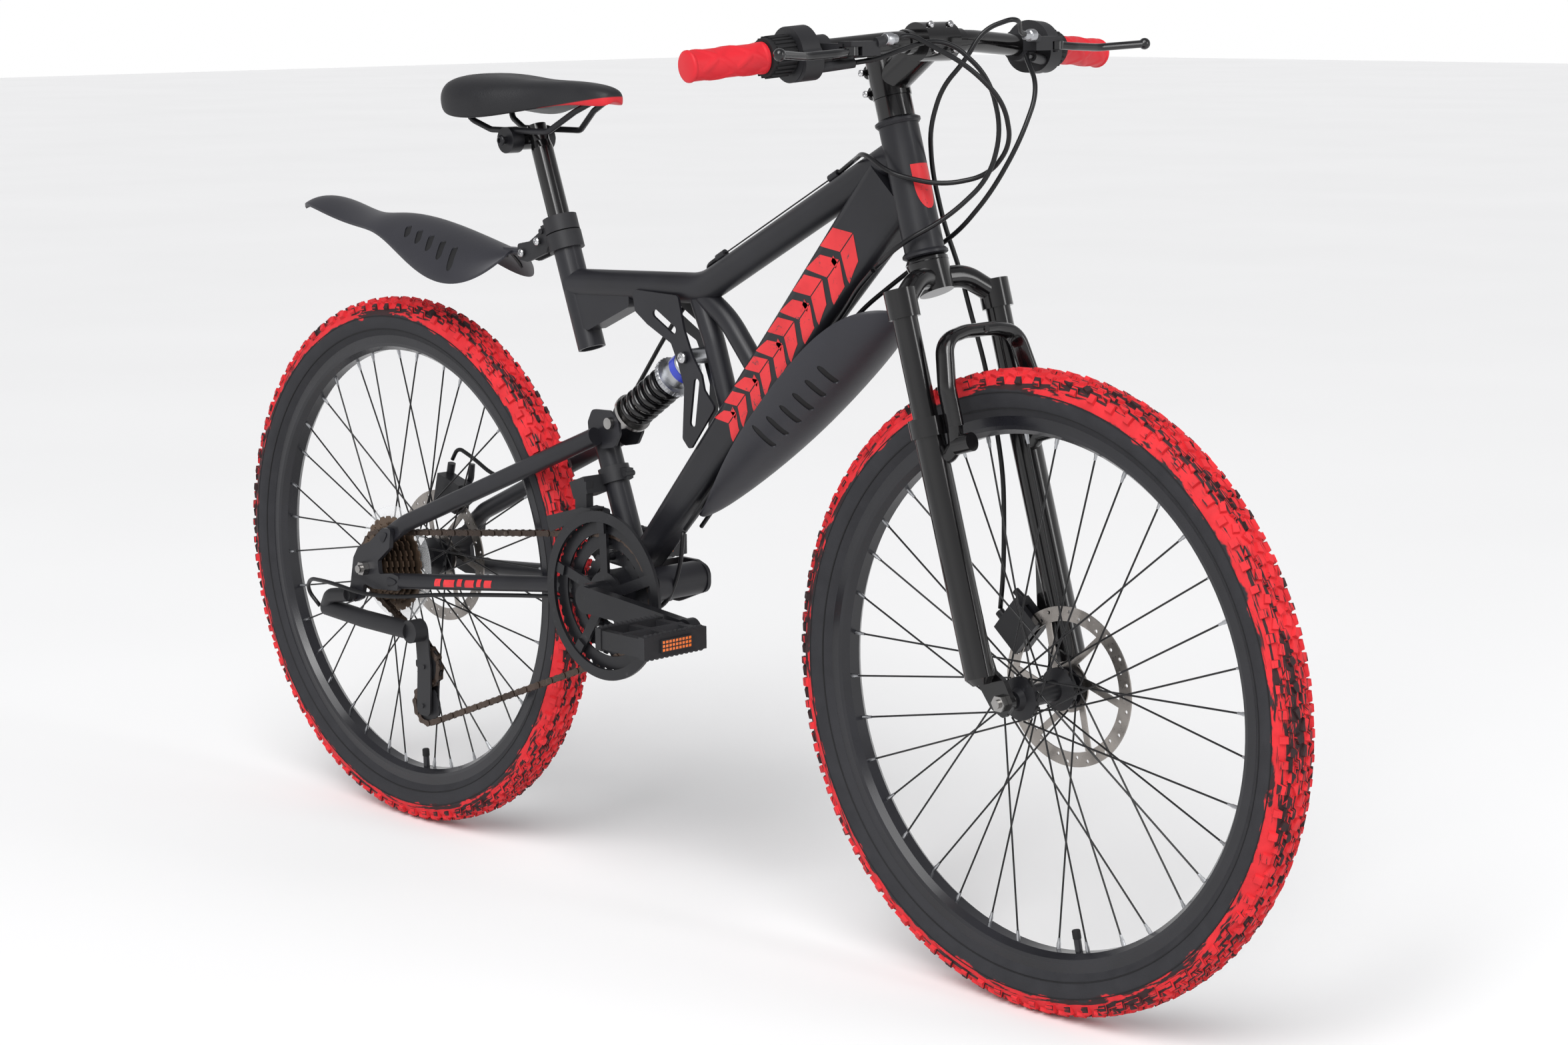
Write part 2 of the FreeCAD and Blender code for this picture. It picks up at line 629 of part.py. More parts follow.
def make_stem_and_bar():
    spacer = pipe("spacers", steer(143.4), steer(164.6), 19, 12.75)
    clamp = pipe("stem_clamp", steer(165), steer(205), 20, 12.75)
    body = cone("stem_body", steer(184, 8), BAR, 18, 16)
    head = across("stem_head", BAR, -23, 23, 19.5)
    cap = lathe("stem_cap", steer(206.3), STEER_UP, ((0, 0), (17.5, 0), (17.5, 3), (14, 6), (0, 6)))
    bolts = []
    face = Vector(STEER_AHEAD)
    for number, (side, up) in enumerate(((-14, 13), (14, 13), (-14, -13), (14, -13))):
        base = BAR + face * 10 + STEER_UP * up + Y_AXIS * side
        bolts.append(rod("face_bolt_%d" % number, base, base + face * 7, 3.2))
    for number, up in enumerate((174, 196)):
        bolts.append(rod("pinch_bolt_%d" % number, steer(up, -20, -17), steer(up, -20, 17), 3.2))
        bolts.append(rod("pinch_boss_%d" % number, steer(up, -18, -9), steer(up, -18, 9), 7))
    whole = fuse("stem_parts", clamp, body, head, *bolts)
    room = fuse("stem_room", rod("stem_bore", steer(150), steer(206.1), 12.75),
                across("bar_bore", BAR, -30, 30, SIZE["bar_clamp_radius"]))
    finish_node(group("stem_group", spacer, cut("stem_whole", whole, room), cap), "stem")

    left_end = Vector(BAR_END.x, BAR_END.y, BAR_END.z)
    right_end = Vector(BAR_END.x, -BAR_END.y, BAR_END.z)
    right_bend = Vector(BAR_BEND.x, -BAR_BEND.y, BAR_BEND.z)
    tube = bent("bar_tube", [right_end, right_bend, BAR_BEND, left_end], SIZE["bar_radius"], 160)
    middle = across("bar_middle", BAR, -40, 40, SIZE["bar_clamp_radius"])
    finish_node(fuse("handlebar_whole", tube, middle), "handlebar")


def on_bar(distance, up=0.0, ahead=0.0, sign=-1):
    """A place beside the bar, a distance from the bike's middle, on one side."""
    share = (distance - BAR_BEND.y) / (BAR_END.y - BAR_BEND.y)
    place = BAR_BEND + (BAR_END - BAR_BEND) * share
    return Vector(place.x + ahead, sign * distance, place.z + up)


def bar_ring(name, low, high, outer, inner, sign):
    start, end = on_bar(low, sign=sign), on_bar(high, sign=sign)
    return pipe(name, start, end, outer, inner)


def make_controls():
    bar = SIZE["bar_radius"]
    grips = []
    housings = []
    for side, sign in SIDES:
        grip_start = float(BAR_END.y) - float(SIZE["grip_length"])
        grip = bar_ring("grip_" + side, grip_start, BAR_END.y, SIZE["grip_radius"], bar, sign)
        cap = rod("grip_cap_" + side, on_bar(BAR_END.y, sign=sign),
                  on_bar(BAR_END.y + 3, sign=sign), SIZE["grip_radius"])
        grips.append(fuse("grip_whole_" + side, grip, cap))

        twist = bar_ring("twist_sleeve_" + side, 181, grip_start - 0.6, 18.5, 11.5, sign)
        ribs = []
        for number in range(24):
            turn = Rotation(Y_AXIS, 360 * number / 24)
            spot = turn.multVec(Vector(0, 0, 19))
            start = on_bar(184, sign=sign) + spot
            ribs.append(rod("twist_rib_%s_%d" % (side, number), start,
                            on_bar(grip_start - 3, sign=sign) + spot, 1.4))
        finish_node(fuse("twist_grip_whole_" + side, twist, *ribs), "twist_grip_" + side)

        shell = bar_ring("shifter_shell_" + side, 160, 180.4, 27, bar, sign)
        drum = rod("shifter_drum_" + side, on_bar(160, -6, 10, sign), on_bar(181, -6, 10, sign), 20)
        spout = rod("shifter_spout_" + side, on_bar(162, -14, 20, sign), on_bar(128, -12, 30, sign), 5)
        lever_clamp = bar_ring("lever_clamp_" + side, 138, 154, 16, bar, sign)
        arm = block("lever_arm_" + side, on_bar(146, 2, 26, sign), (34, 16, 12))
        perch = block("lever_perch_" + side, on_bar(132, 2, 42, sign), (18, 40, 14))
        barrel = rod("lever_barrel_" + side, on_bar(116, 6, 46, sign), on_bar(98, 8, 47, sign), 5)
        mouth = block("lever_mouth_" + side, on_bar(150, 1, 53, sign), (28, 26, 8.6))
        hole = rod("lever_pivot_hole_" + side, on_bar(148, -8, 48, sign), on_bar(148, 12, 48, sign), 3)
        core = rod("bar_core_" + side, on_bar(90, sign=sign), on_bar(200, sign=sign), bar)
        whole = fuse("control_parts_" + side, shell, drum, spout, lever_clamp, arm, perch, barrel)
        pin = rod("lever_pin_" + side, on_bar(148, -6, 48, sign), on_bar(148, 10, 48, sign), 2.9)
        housings.append(fuse("control_with_pin_" + side,
                             cut("control_whole_" + side, whole, core, mouth, hole), pin))

        blade_points = [on_bar(148, 1, 48, sign), on_bar(170, 1, 56, sign), on_bar(210, 2, 60, sign),
                        on_bar(262, 9, 87, sign)]
        blade = bent("lever_blade_" + side, blade_points, 4, 30)
        boss = rod("lever_boss_" + side, on_bar(148, -3, 48, sign), on_bar(148, 5, 48, sign), 8)
        tip_end = on_bar(262, 9, 87, sign)
        tip = doc.addObject("Part::Sphere", "lever_tip_" + side)
        bind(tip, "Radius", 6)
        tip.Placement = Placement(tip_end, Rotation())
        bore = rod("lever_bore_" + side, on_bar(148, -9, 48, sign), on_bar(148, 13, 48, sign), 2.95)
        finish_node(cut("brake_lever_whole_" + side, fuse("brake_lever_parts_" + side, blade, boss, tip),
                        bore), "brake_lever_" + side)
    finish_node(group("grips_group", *grips), "grips")
    finish_node(group("control_mounts_group", *housings), "control_mounts")


# ---------------------------------------------------------------- wheels

def polar(centre, radius, degrees, side=0.0):
    """A place on a circle in an XZ plane; the angle runs from X towards Z."""
    turn = math.radians(degrees)
    return Vector(centre.x + radius * math.cos(turn), side, centre.z + radius * math.sin(turn))


def make_wheel(prefix, hub, flanges, hub_profile, rotor_side, valve_angle):
    outer = SIZE["tyre_radius"]
    half = float(SIZE["tyre_width"]) / 2
    bead = float(SIZE["rim_inner_radius"]) + 12.3
    rim_half = float(SIZE["rim_width"]) / 2
    tread = float(outer)
    seat = rim_half - 2.1
    finish_node(lathe(prefix + "_carcass", hub, Y_AXIS,
                      ((bead, -5.5), (bead + 3.6, -seat), (bead + 9.4, -seat), (bead + 14, 4 - half),
                       (bead + 26, -half), (tread - 11, 2 - half), (tread - 2.4, -15), (outer, -6),
                       (outer, 6), (tread - 2.4, 15), (tread - 11, half - 2), (bead + 26, half),
                       (bead + 14, half - 4), (bead + 9.4, seat), (bead + 3.6, seat), (bead, 5.5))),
                prefix + "_tyre")

    inner = SIZE["rim_inner_radius"]
    low = float(inner)
    hoop = lathe(prefix + "_hoop", hub, Y_AXIS,
                 ((inner, -7), (inner + 5, -rim_half + 1), (inner + 9, -rim_half),
                  (inner + 21.5, -rim_half), (inner + 21.5, -rim_half + 1.7),
                  (inner + 16, -rim_half + 1.9), (inner + 12, -6), (inner + 12, 6),
                  (inner + 16, rim_half - 1.9), (inner + 21.5, rim_half - 1.7),
                  (inner + 21.5, rim_half), (inner + 9, rim_half), (inner + 5, rim_half - 1),
                  (inner, 7)))
    stem_top = polar(hub, low - 22, valve_angle)
    stem_foot = polar(hub, low + 12.2, valve_angle)
    valve_room = rod(prefix + "_valve_room", stem_top, stem_foot, 3.9)
    valve = rod(prefix + "_valve", stem_top, polar(hub, low + 8, valve_angle), 3.85)
    finish_node(group(prefix + "_rim_group", cut(prefix + "_hoop_drilled", hoop, valve_room), valve),
                prefix + "_rim")

    spokes = []
    count = int(float(SIZE["spoke_count"]))
    for number in range(count):
        sign = -1 if number % 2 else 1
        pulling = 1 if number % 4 < 2 else -1
        rim_angle = 360 * (number + 0.5) / count - 90
        flange, flange_radius = flanges[sign]
        flange_place = polar(hub, flange_radius, rim_angle + pulling * 62, flange + pulling * 1.5)
        rim_place = polar(hub, low + 3, rim_angle, sign * 3 + pulling * 1.2)
        spokes.append(rod("%s_spoke_%d" % (prefix, number), flange_place, rim_place,
                          SIZE["spoke_radius"]))
    rim_tool = lathe(prefix + "_rim_tool", hub, Y_AXIS, ((inner, -16), (inner + 20, -16),
                                                         (inner + 20, 16), (inner, 16)))
    finish_node(cut(prefix + "_spokes_trimmed", group(prefix + "_spokes_group", *spokes), rim_tool),
                prefix + "_spokes")

    finish_node(lathe(prefix + "_hub_body", hub, Y_AXIS, hub_profile), prefix + "_hub")

    disc_radius = SIZE["rotor_radius"]
    thick = float(SIZE["rotor_thickness"])
    band = ring(prefix + "_rotor_band", hub, rotor_side, rotor_side + thick, disc_radius,
                disc_radius - 15)
    heart = ring(prefix + "_rotor_heart", hub, rotor_side, rotor_side + thick, 26, 13)
    arms = []
    for number in range(6):
        angle = 60 * number
        arms.append(block("%s_rotor_arm_%d" % (prefix, number),
                          polar(hub, 45, angle, rotor_side + thick / 2), (46, thick, 7),
                          Rotation(Y_AXIS, 18 - angle)))
    holes = []
    for number in range(36):
        spot = polar(hub, float(disc_radius) - (5 if number % 2 else 10), 10 * number)
        holes.append(across("%s_rotor_hole_%d" % (prefix, number), spot, rotor_side - 1,
                            rotor_side + thick + 1, 1.9))
    finish_node(cut(prefix + "_rotor_drilled", fuse(prefix + "_rotor_parts", band, heart, *arms),
                    *holes), prefix + "_rotor")


def hex_nut(name, centre, low, high, across_flats):
    prism = doc.addObject("Part::Prism", name)
    prism.Polygon = 6
    bind(prism, "Circumradius", across_flats / math.sqrt(3))
    prism.Height = high - low
    prism.Placement = facing(Vector(centre.x, low, centre.z), Y_AXIS)
    return prism


def make_wheels():
    front_profile = ((4.56, -40), (9, -40), (12, -34), (22, -31), (22, -26), (11, -20), (11, 20),
                     (22, 26), (22, 31), (14, 33), (14, 38), (21, 39), (21, 42), (4.56, 42))
    make_wheel("front", FRONT_HUB, {-1: (-28.5, 23), 1: (28.5, 23)}, front_profile, 42, -78)
    rear_profile = ((4.81, -63.6), (12.4, -63.6), (12.4, -27), (24, -25), (24, -19), (13, -13),
                    (13, 22), (24, 27), (24, 32), (15, 34), (15, 40), (21, 41), (21, 44), (4.81, 44))
    make_wheel("rear", REAR_HUB, {-1: (-22, 25), 1: (29.5, 25)}, rear_profile, 44, -87)

    guard = lathe("spoke_guard_disc", REAR_HUB, Y_AXIS, ((25, -28.6), (70, -28.6), (71, -27.4),
                                                         (70, -26.8), (25, -26.8)))
    finish_node(guard, "spoke_guard")

    radius = SIZE["axle_radius"]
    bar = across("front_axle_bar", FRONT_HUB, -66, 66, radius)
    parts = [bar]
    for side, sign in SIDES:
        low, high = sorted((sign * 44.2, sign * 50))
        parts.append(across("front_locknut_" + side, FRONT_HUB, low, high, 8))
        low, high = sorted((sign * 56.4, sign * 63))
        parts.append(hex_nut("front_nut_" + side, FRONT_HUB, low, high, 15))
    finish_node(fuse("front_axle_whole", *parts), "front_axle")

    parts = [across("rear_axle_bar", REAR_HUB, -86, 86, radius + 0.25)]
    for side, sign in SIDES:
        start = 64.4 if sign < 0 else 46.4
        low, high = sorted((sign * start, sign * 67.3))
        parts.append(across("rear_locknut_" + side, REAR_HUB, low, high, 8))
        low, high = sorted((sign * 73.7, sign * 81.5))
        parts.append(hex_nut("rear_nut_" + side, REAR_HUB, low, high, 15))
    finish_node(fuse("rear_axle_whole", *parts), "rear_axle")


def make_calipers(fork_tools, stay_tools):
    thick = float(SIZE["rotor_thickness"])
    for prefix, hub, plane, angle, tools in (("front", FRONT_HUB, 42, 140, fork_tools),
                                             ("rear", REAR_HUB, 44, 75, stay_tools)):
        centre = polar(hub, 84, angle, plane + thick / 2)
        turn = Rotation(Y_AXIS, 90 - angle)
        out = turn.multVec(Z_AXIS)
        along = turn.multVec(X_AXIS)
        body = block(prefix + "_caliper_body", centre + Y_AXIS * 1, (44, 21, 38), turn)
        drum = rod(prefix + "_caliper_drum", centre + Y_AXIS * 8, centre + Y_AXIS * 22, 14)
        slit = block(prefix + "_caliper_slit", centre - out * 12, (60, 5, 40), turn)
        arm_root = centre + Y_AXIS * 20
        arm = bent(prefix + "_caliper_arm", [arm_root, arm_root + out * 20 + along * 8,
                                             arm_root + out * 38 + along * 6], 4, 10)
        stop = rod(prefix + "_caliper_stop", centre + out * 16 - along * 17 + Y_AXIS * 7,
                   centre + out * 32 - along * 17 + Y_AXIS * 7, 5)
        whole = fuse(prefix + "_caliper_parts", body, drum, arm, stop)
        finish_node(cut(prefix + "_caliper_whole", whole, slit, *tools), prefix + "_caliper")


# ---------------------------------------------------------------- rear suspension

def make_swingarm():
    shell = pipe("bottom_bracket_shell", CRANK - Y_AXIS * 34, CRANK + Y_AXIS * 34,
                 SIZE["bottom_bracket_radius"], 8.56)
    shell_tool = across("bottom_bracket_tool", CRANK, -34, 34, SIZE["bottom_bracket_radius"])
    tube = cut("swing_tube", rod("swing_tube_bar", CRANK, SWING_TOP, SIZE["swing_tube_radius"]),
               shell_tool)
    lug_outline = [(-104, 333), (-104, 373), (-60, 385), (-32, 385), (-12, 378), (-12, 352),
                   (-32, 345), (-62, 333)]
    lug = plate("pivot_lug", lug_outline, -36.4, 4.4, 14,
                holes=((CRANK.x, CRANK.z, 10), (PIVOT.x, PIVOT.z, 8.0)))
    finish_node(fuse("swing_seat_tube_whole", shell, tube, pair("pivot_lugs", lug)),
                "swing_seat_tube")

    ear = plate("lower_ear", [(-154, 536), (-146, 551), (-116, 552), (-101, 543), (-99, 526),
                              (-108, 511), (-130, 507), (-152, 516)], -17, 3.6, 8,
                holes=((SHOCK_LOW.x, SHOCK_LOW.z, 4.0),))
    tube_tool = rod("swing_tube_tool", CRANK, SWING_TOP, SIZE["swing_tube_radius"])
    finish_node(cut("shock_ears_whole", pair("shock_ears_pair", ear), tube_tool), "shock_ears")

    ear_tool = block("ear_tool", Vector(-120, 0, 528), (70, 37.6, 52))
    lug_tool = block("lug_tool", Vector(-60, 0, 359), (90, 77.3, 54))
    dropouts = []
    for side, sign in SIDES:
        back = [(-552, 290), (-548, 300)] if sign < 0 else []
        under = [(-520, 306), (-526, 286), (-540, 280)] if sign < 0 else [(-524, 308)]
        outline = back + [(-540, 336), (-530, 350), (-505, 360), (-478, 380), (-462, 380),
                          (-466, 356), (-490, 338), (-488, 322), (-462, 326), (-448, 324),
                          (-452, 306), (-500, 302)] + under
        dropouts.append(plate("dropout_" + side + "_rear", outline, sign * 70.5, 6, 3,
                              holes=((REAR_HUB.x, REAR_HUB.z, 4.8),)))
    drop_tool = block("drop_tool", Vector(-500, 0, 335), (100, 149, 100))
    drop_inner = block("drop_inner", Vector(-500, 0, 335), (104, 133.4, 104))
    drop_shell = cut("drop_shell", drop_tool, drop_inner)
    lower = bent("chainstay_bar", [Vector(-96, -25, 350), Vector(-185, -32, 345),
                                   Vector(-470, -67, 315)], SIZE["stay_radius"] - 1, 200)
    lower_stays = pair("chainstays_pair",
                       cut("chainstay_coped", lower, shell_tool, lug_tool, drop_shell))
    finish_node(group("chainstays_group", lower_stays, *dropouts), "chainstays")
    upper = bent("seatstay_bar", [Vector(-132, -26, 522), Vector(-448, -60, 388),
                                  Vector(-482, -66, 366)], SIZE["stay_radius"], 60)
    upper_stays = pair("seatstays_pair", cut("seatstay_coped", upper, ear_tool, drop_shell))
    finish_node(upper_stays, "seatstays")

    pivot_bolt = across("pivot_bolt", PIVOT, -40, 40, 8.0)
    lower_bolt = across("lower_shock_bolt", SHOCK_LOW, -24, 24, 4.0)
    heads = [across("lower_bolt_head_" + side, SHOCK_LOW, *sorted((sign * 19.2, sign * 24)), 6.5)
             for side, sign in SIDES]
    caps = [across("pivot_cap_" + side, PIVOT, *sorted((sign * 38.8, sign * 41)), 12)
            for side, sign in SIDES]
    finish_node(group("suspension_bolts_group", fuse("pivot_bolt_whole", pivot_bolt, *caps),
                      fuse("lower_bolt_whole", lower_bolt, *heads)), "suspension_bolts")
    return [lower_stays, upper_stays, dropouts[1]]


def make_shock():
    length = (SHOCK_LOW - SHOCK_TOP).Length
    unit = SHOCK_DOWN

    def down(amount):
        return SHOCK_TOP + unit * amount

    eye = across("upper_eye", SHOCK_TOP, -15, 15, 9)
    neck = rod("upper_neck", down(4), down(20), 8)
    can = lathe("shock_can", down(14), unit, ((0, 0), (11, 0), (17, 5), (17.5, 30), (23, 31),
                                              (23, 38), (13.2, 39), (13.2, 89), (0, 89)))
    eye_bore = across("upper_eye_bore", SHOCK_TOP, -20, 20, 4.06)
    shaft_bore = rod("shaft_bore", down(62), down(108), 6.1)
    finish_node(cut("shock_body_whole", fuse("shock_body_parts", eye, neck, can), eye_bore,
                    shaft_bore), "shock_body")

    shaft = rod("shaft_rod", down(94), down(length - 10), 6)
    lower_eye = across("lower_eye", SHOCK_LOW, -14, 14, 9)
    perch = lathe("lower_perch", down(length - 22), unit, ((0, 0), (23, 0), (23, 4), (12, 6),
                                                           (10, 14), (0, 14)))
    lower_bore = across("lower_eye_bore", SHOCK_LOW, -20, 20, 5.4)
    finish_node(cut("shock_shaft_whole", fuse("shock_shaft_parts", shaft, lower_eye, perch),
                    lower_bore), "shock_shaft")

    start = down(53.3)
    span = (length - 22.4) - 53.3
    wire = float(SIZE["spring_wire_radius"])
    turns = 6
    helix = Part.makeHelix((span - 2 * wire) / turns, span - 2 * wire,
                           float(SIZE["spring_radius"]) - wire)
    section = Part.Wire(Part.Circle(Vector(float(SIZE["spring_radius"]) - wire, 0, 0),
                                    Y_AXIS, wire).toShape())
    coil = doc.addObject("Part::Feature", "shock_spring_coil")
    coil.Shape = Part.Wire(helix).makePipeShell([section], True, True)
    coil.Placement = facing(start + unit * wire, unit)
    finish_node(coil, "shock_spring")


# ---------------------------------------------------------------- drivetrain

CHAIN_PLANE = -47.5
COG_TEETH = (28, 24, 22, 20, 18, 16, 14)
GUIDE_WHEEL = Vector(-428, 0, 213)
TENSION_WHEEL = Vector(-432, 0, 164)
CHAIN_PITCH = 12.7


def pitch_radius(teeth):
    return CHAIN_PITCH / (2 * math.sin(math.pi / teeth))


def chain_loop(offset):
    """The closed line of the chain, moved outwards by the offset, as runs and arcs."""
    circles = [(CRANK, float(SIZE["middle_ring_radius"]) - 2.2, 1),
               (TENSION_WHEEL, pitch_radius(11), 1),
               (GUIDE_WHEEL, pitch_radius(11), -1),
               (REAR_HUB, pitch_radius(20), 1)]
    runs = []
    for index, (centre, radius, sense) in enumerate(circles):
        other, other_radius, other_sense = circles[(index + 1) % len(circles)]
        gap = other - centre
        lean = math.asin((other_sense * other_radius - sense * radius) / gap.Length)
        heading = math.atan2(gap.z, gap.x) + lean
        right = Vector(math.sin(heading), -math.cos(heading), 0)
        flat = Vector(centre.x, centre.z, 0)
        other_flat = Vector(other.x, other.z, 0)
        runs.append((flat - right * (sense * (radius + sense * offset)),
                     other_flat - right * (other_sense * (other_radius + other_sense * offset))))
    edges = []
    for index, (centre, radius, sense) in enumerate(circles):
        arrive = runs[index - 1][1]
        leave = runs[index][0]
        flat = Vector(centre.x, centre.z, 0)
        first = math.atan2(arrive.y - flat.y, arrive.x - flat.x)
        last = math.atan2(leave.y - flat.y, leave.x - flat.x)
        sweep = (last - first) % (2 * math.pi)
        if sense > 0:
            sweep -= 2 * math.pi
        middle = first + sweep / 2
        reach = radius + sense * offset
        middle_point = flat + Vector(math.cos(middle), math.sin(middle), 0) * reach
        edges.append(Part.Arc(arrive, middle_point, leave))
        edges.append(Part.LineSegment(*runs[index]))
    return edges, runs


def make_chain():
    bands = []
    for side, shift in (("inner", 2.6), ("outer", -2.6)):
        body = doc.addObject("PartDesign::Body", "chain_band_" + side)
        sketch = sketch_in(body, "chain_band_sketch_" + side)
        for offset in (3.8, -3.8):
            for edge in chain_loop(offset)[0]:
                sketch.addGeometry(edge, False)
        pad = body.newObject("PartDesign::Pad", "chain_band_pad_" + side)
        pad.Profile = sketch
        pad.Length = 1.7
        pad.SideType = "Symmetric"
        body.Placement = Placement(Vector(0, CHAIN_PLANE + shift, 0), Rotation())
        bands.append(body)
    pins = []
    runs = chain_loop(0)[1]
    for name, (start, end) in (("lower", runs[0]), ("upper", runs[3])):
        step = (end - start).normalize() * (CHAIN_PITCH * 2)
        count = int((runs[0][1] - runs[0][0]).Length / (CHAIN_PITCH * 2))
        for number in range(1, count):
            spot = start + step * number
            pins.append(across("chain_pin_%s_%d" % (name, number), Vector(spot.x, 0, spot.y),
                               CHAIN_PLANE - 4, CHAIN_PLANE + 4, 2))
    finish_node(fuse("chain_whole", *bands, *pins), "chain")


def toothed(name, centre, middle, thickness, tip_radius, teeth, bore):
    """A sprocket: a disc whose rim is notched between the teeth."""
    disc = ring(name + "_disc", centre, middle - thickness / 2, middle + thickness / 2,
                tip_radius, bore)
    notches = []
    for number in range(teeth):
        spot = polar(centre, float(tip_radius) + 0.8, 360 * number / teeth)
        notches.append(across("%s_notch_%d" % (name, number), spot, middle - thickness,
                              middle + thickness, 3.4))
    return cut(name + "_toothed", disc, *notches)


def make_freewheel():
    cogs = []
    for index, teeth in enumerate(COG_TEETH):
        middle = -32.5 - 5 * index
        cogs.append(toothed("cog_%d" % teeth, REAR_HUB, middle, 1.8, pitch_radius(teeth) + 2, teeth,
                            20))
    core = ring("freewheel_core", REAR_HUB, -64, -30, 22, 12.9)
    finish_node(fuse("freewheel_whole", core, *cogs), "freewheel")


def make_cranks():
    parts = [across("spindle", CRANK, -62, 62, 8.5)]
    length = float(SIZE["crank_length"])
    for side, sign in SIDES:
        reach = Rotation(Y_AXIS, CRANK_DROP).multVec(X_AXIS * -sign)
        end = CRANK + reach * length
        square = Vector(-reach.z, 0, reach.x)
        corners = [CRANK - square * 15, CRANK + square * 15, end + square * 10, end - square * 10]
        parts.append(across("crank_boss_" + side, CRANK, *sorted((sign * 58, sign * 87)), 17))
        parts.append(plate("crank_arm_" + side, [(corner.x, corner.z) for corner in corners],
                           sign * 84, 12))
        parts.append(across("crank_eye_" + side, end, *sorted((sign * 77, sign * 91)), 13))
        parts.append(across("pedal_spindle_" + side, end, *sorted((sign * 77, sign * 176)), 6))
        parts.append(across("pedal_washer_" + side, end, *sorted((sign * 91, sign * 93.5)), 9))

        inner, outer = sign * 94.5, sign * 182.5
        middle = (inner + outer) / 2
        body = [block("pedal_rail_%s_%d" % (side, place), end + Vector(place, middle, 0), (9, 88, 24))
                for place in (-35, 35)]
        body += [block("pedal_bridge_%s_%d" % (side, number), end + Y_AXIS * place, (74, 9, 20))
                 for number, place in enumerate((inner + sign * 5.5, middle, outer - sign * 5.5))]
        body += [block("pedal_reflector_%s_%d" % (side, face), end + Vector(face * 40.4, middle, 0),
                       (3, 44, 14)) for face in (-1, 1)]
        body.append(across("pedal_barrel_" + side, end, *sorted((inner, sign * 181)), 11))
        bore = across("pedal_hole_" + side, end, *sorted((sign * 90, sign * 178)), 6.06)
        finish_node(cut("pedal_whole_" + side, fuse("pedal_parts_" + side, *body), bore),
                    "pedal_" + side)
    finish_node(fuse("crank_arms_whole", *parts), "crank_arms")

    rings = []
    for name, middle, radius, teeth, bore in (
            ("large", -53, SIZE["large_ring_radius"], 42, 70),
            ("middle", CHAIN_PLANE, SIZE["middle_ring_radius"], 34, 54),
            ("small", -42.5, SIZE["small_ring_radius"], 24, 36)):
        rings.append(toothed(name + "_ring", CRANK, middle, 2, radius, teeth, bore))
    guard = ring("guard_ring", CRANK, -62.5, -58.5, SIZE["guard_radius"], 84)
    arms = []
    for number in range(5):
        angle = 72 * number + 20
        arms.append(block("spider_arm_%d" % number, polar(CRANK, 44, angle, -56), (60, 4, 12),
                          Rotation(Y_AXIS, -angle)))
        for low, high, radius, place in ((-58.6, -52.2, 4.5, 75), (-54, -41.6, 4.5, 60),
                                         (-54, -41.6, 4.5, 43)):
            arms.append(across("ring_post_%d_%d" % (number, place), polar(CRANK, place, angle), low,
                               high, radius))
        arms.append(block("guard_arm_%d" % number, polar(CRANK, 80, angle, -59.2), (18, 3.6, 12),
                          Rotation(Y_AXIS, -angle)))
    spider = ring("spider_hub", CRANK, -58, -54, 27, 8.5)
    finish_node(fuse("chainrings_whole", *rings, guard, spider, *arms), "chainrings")


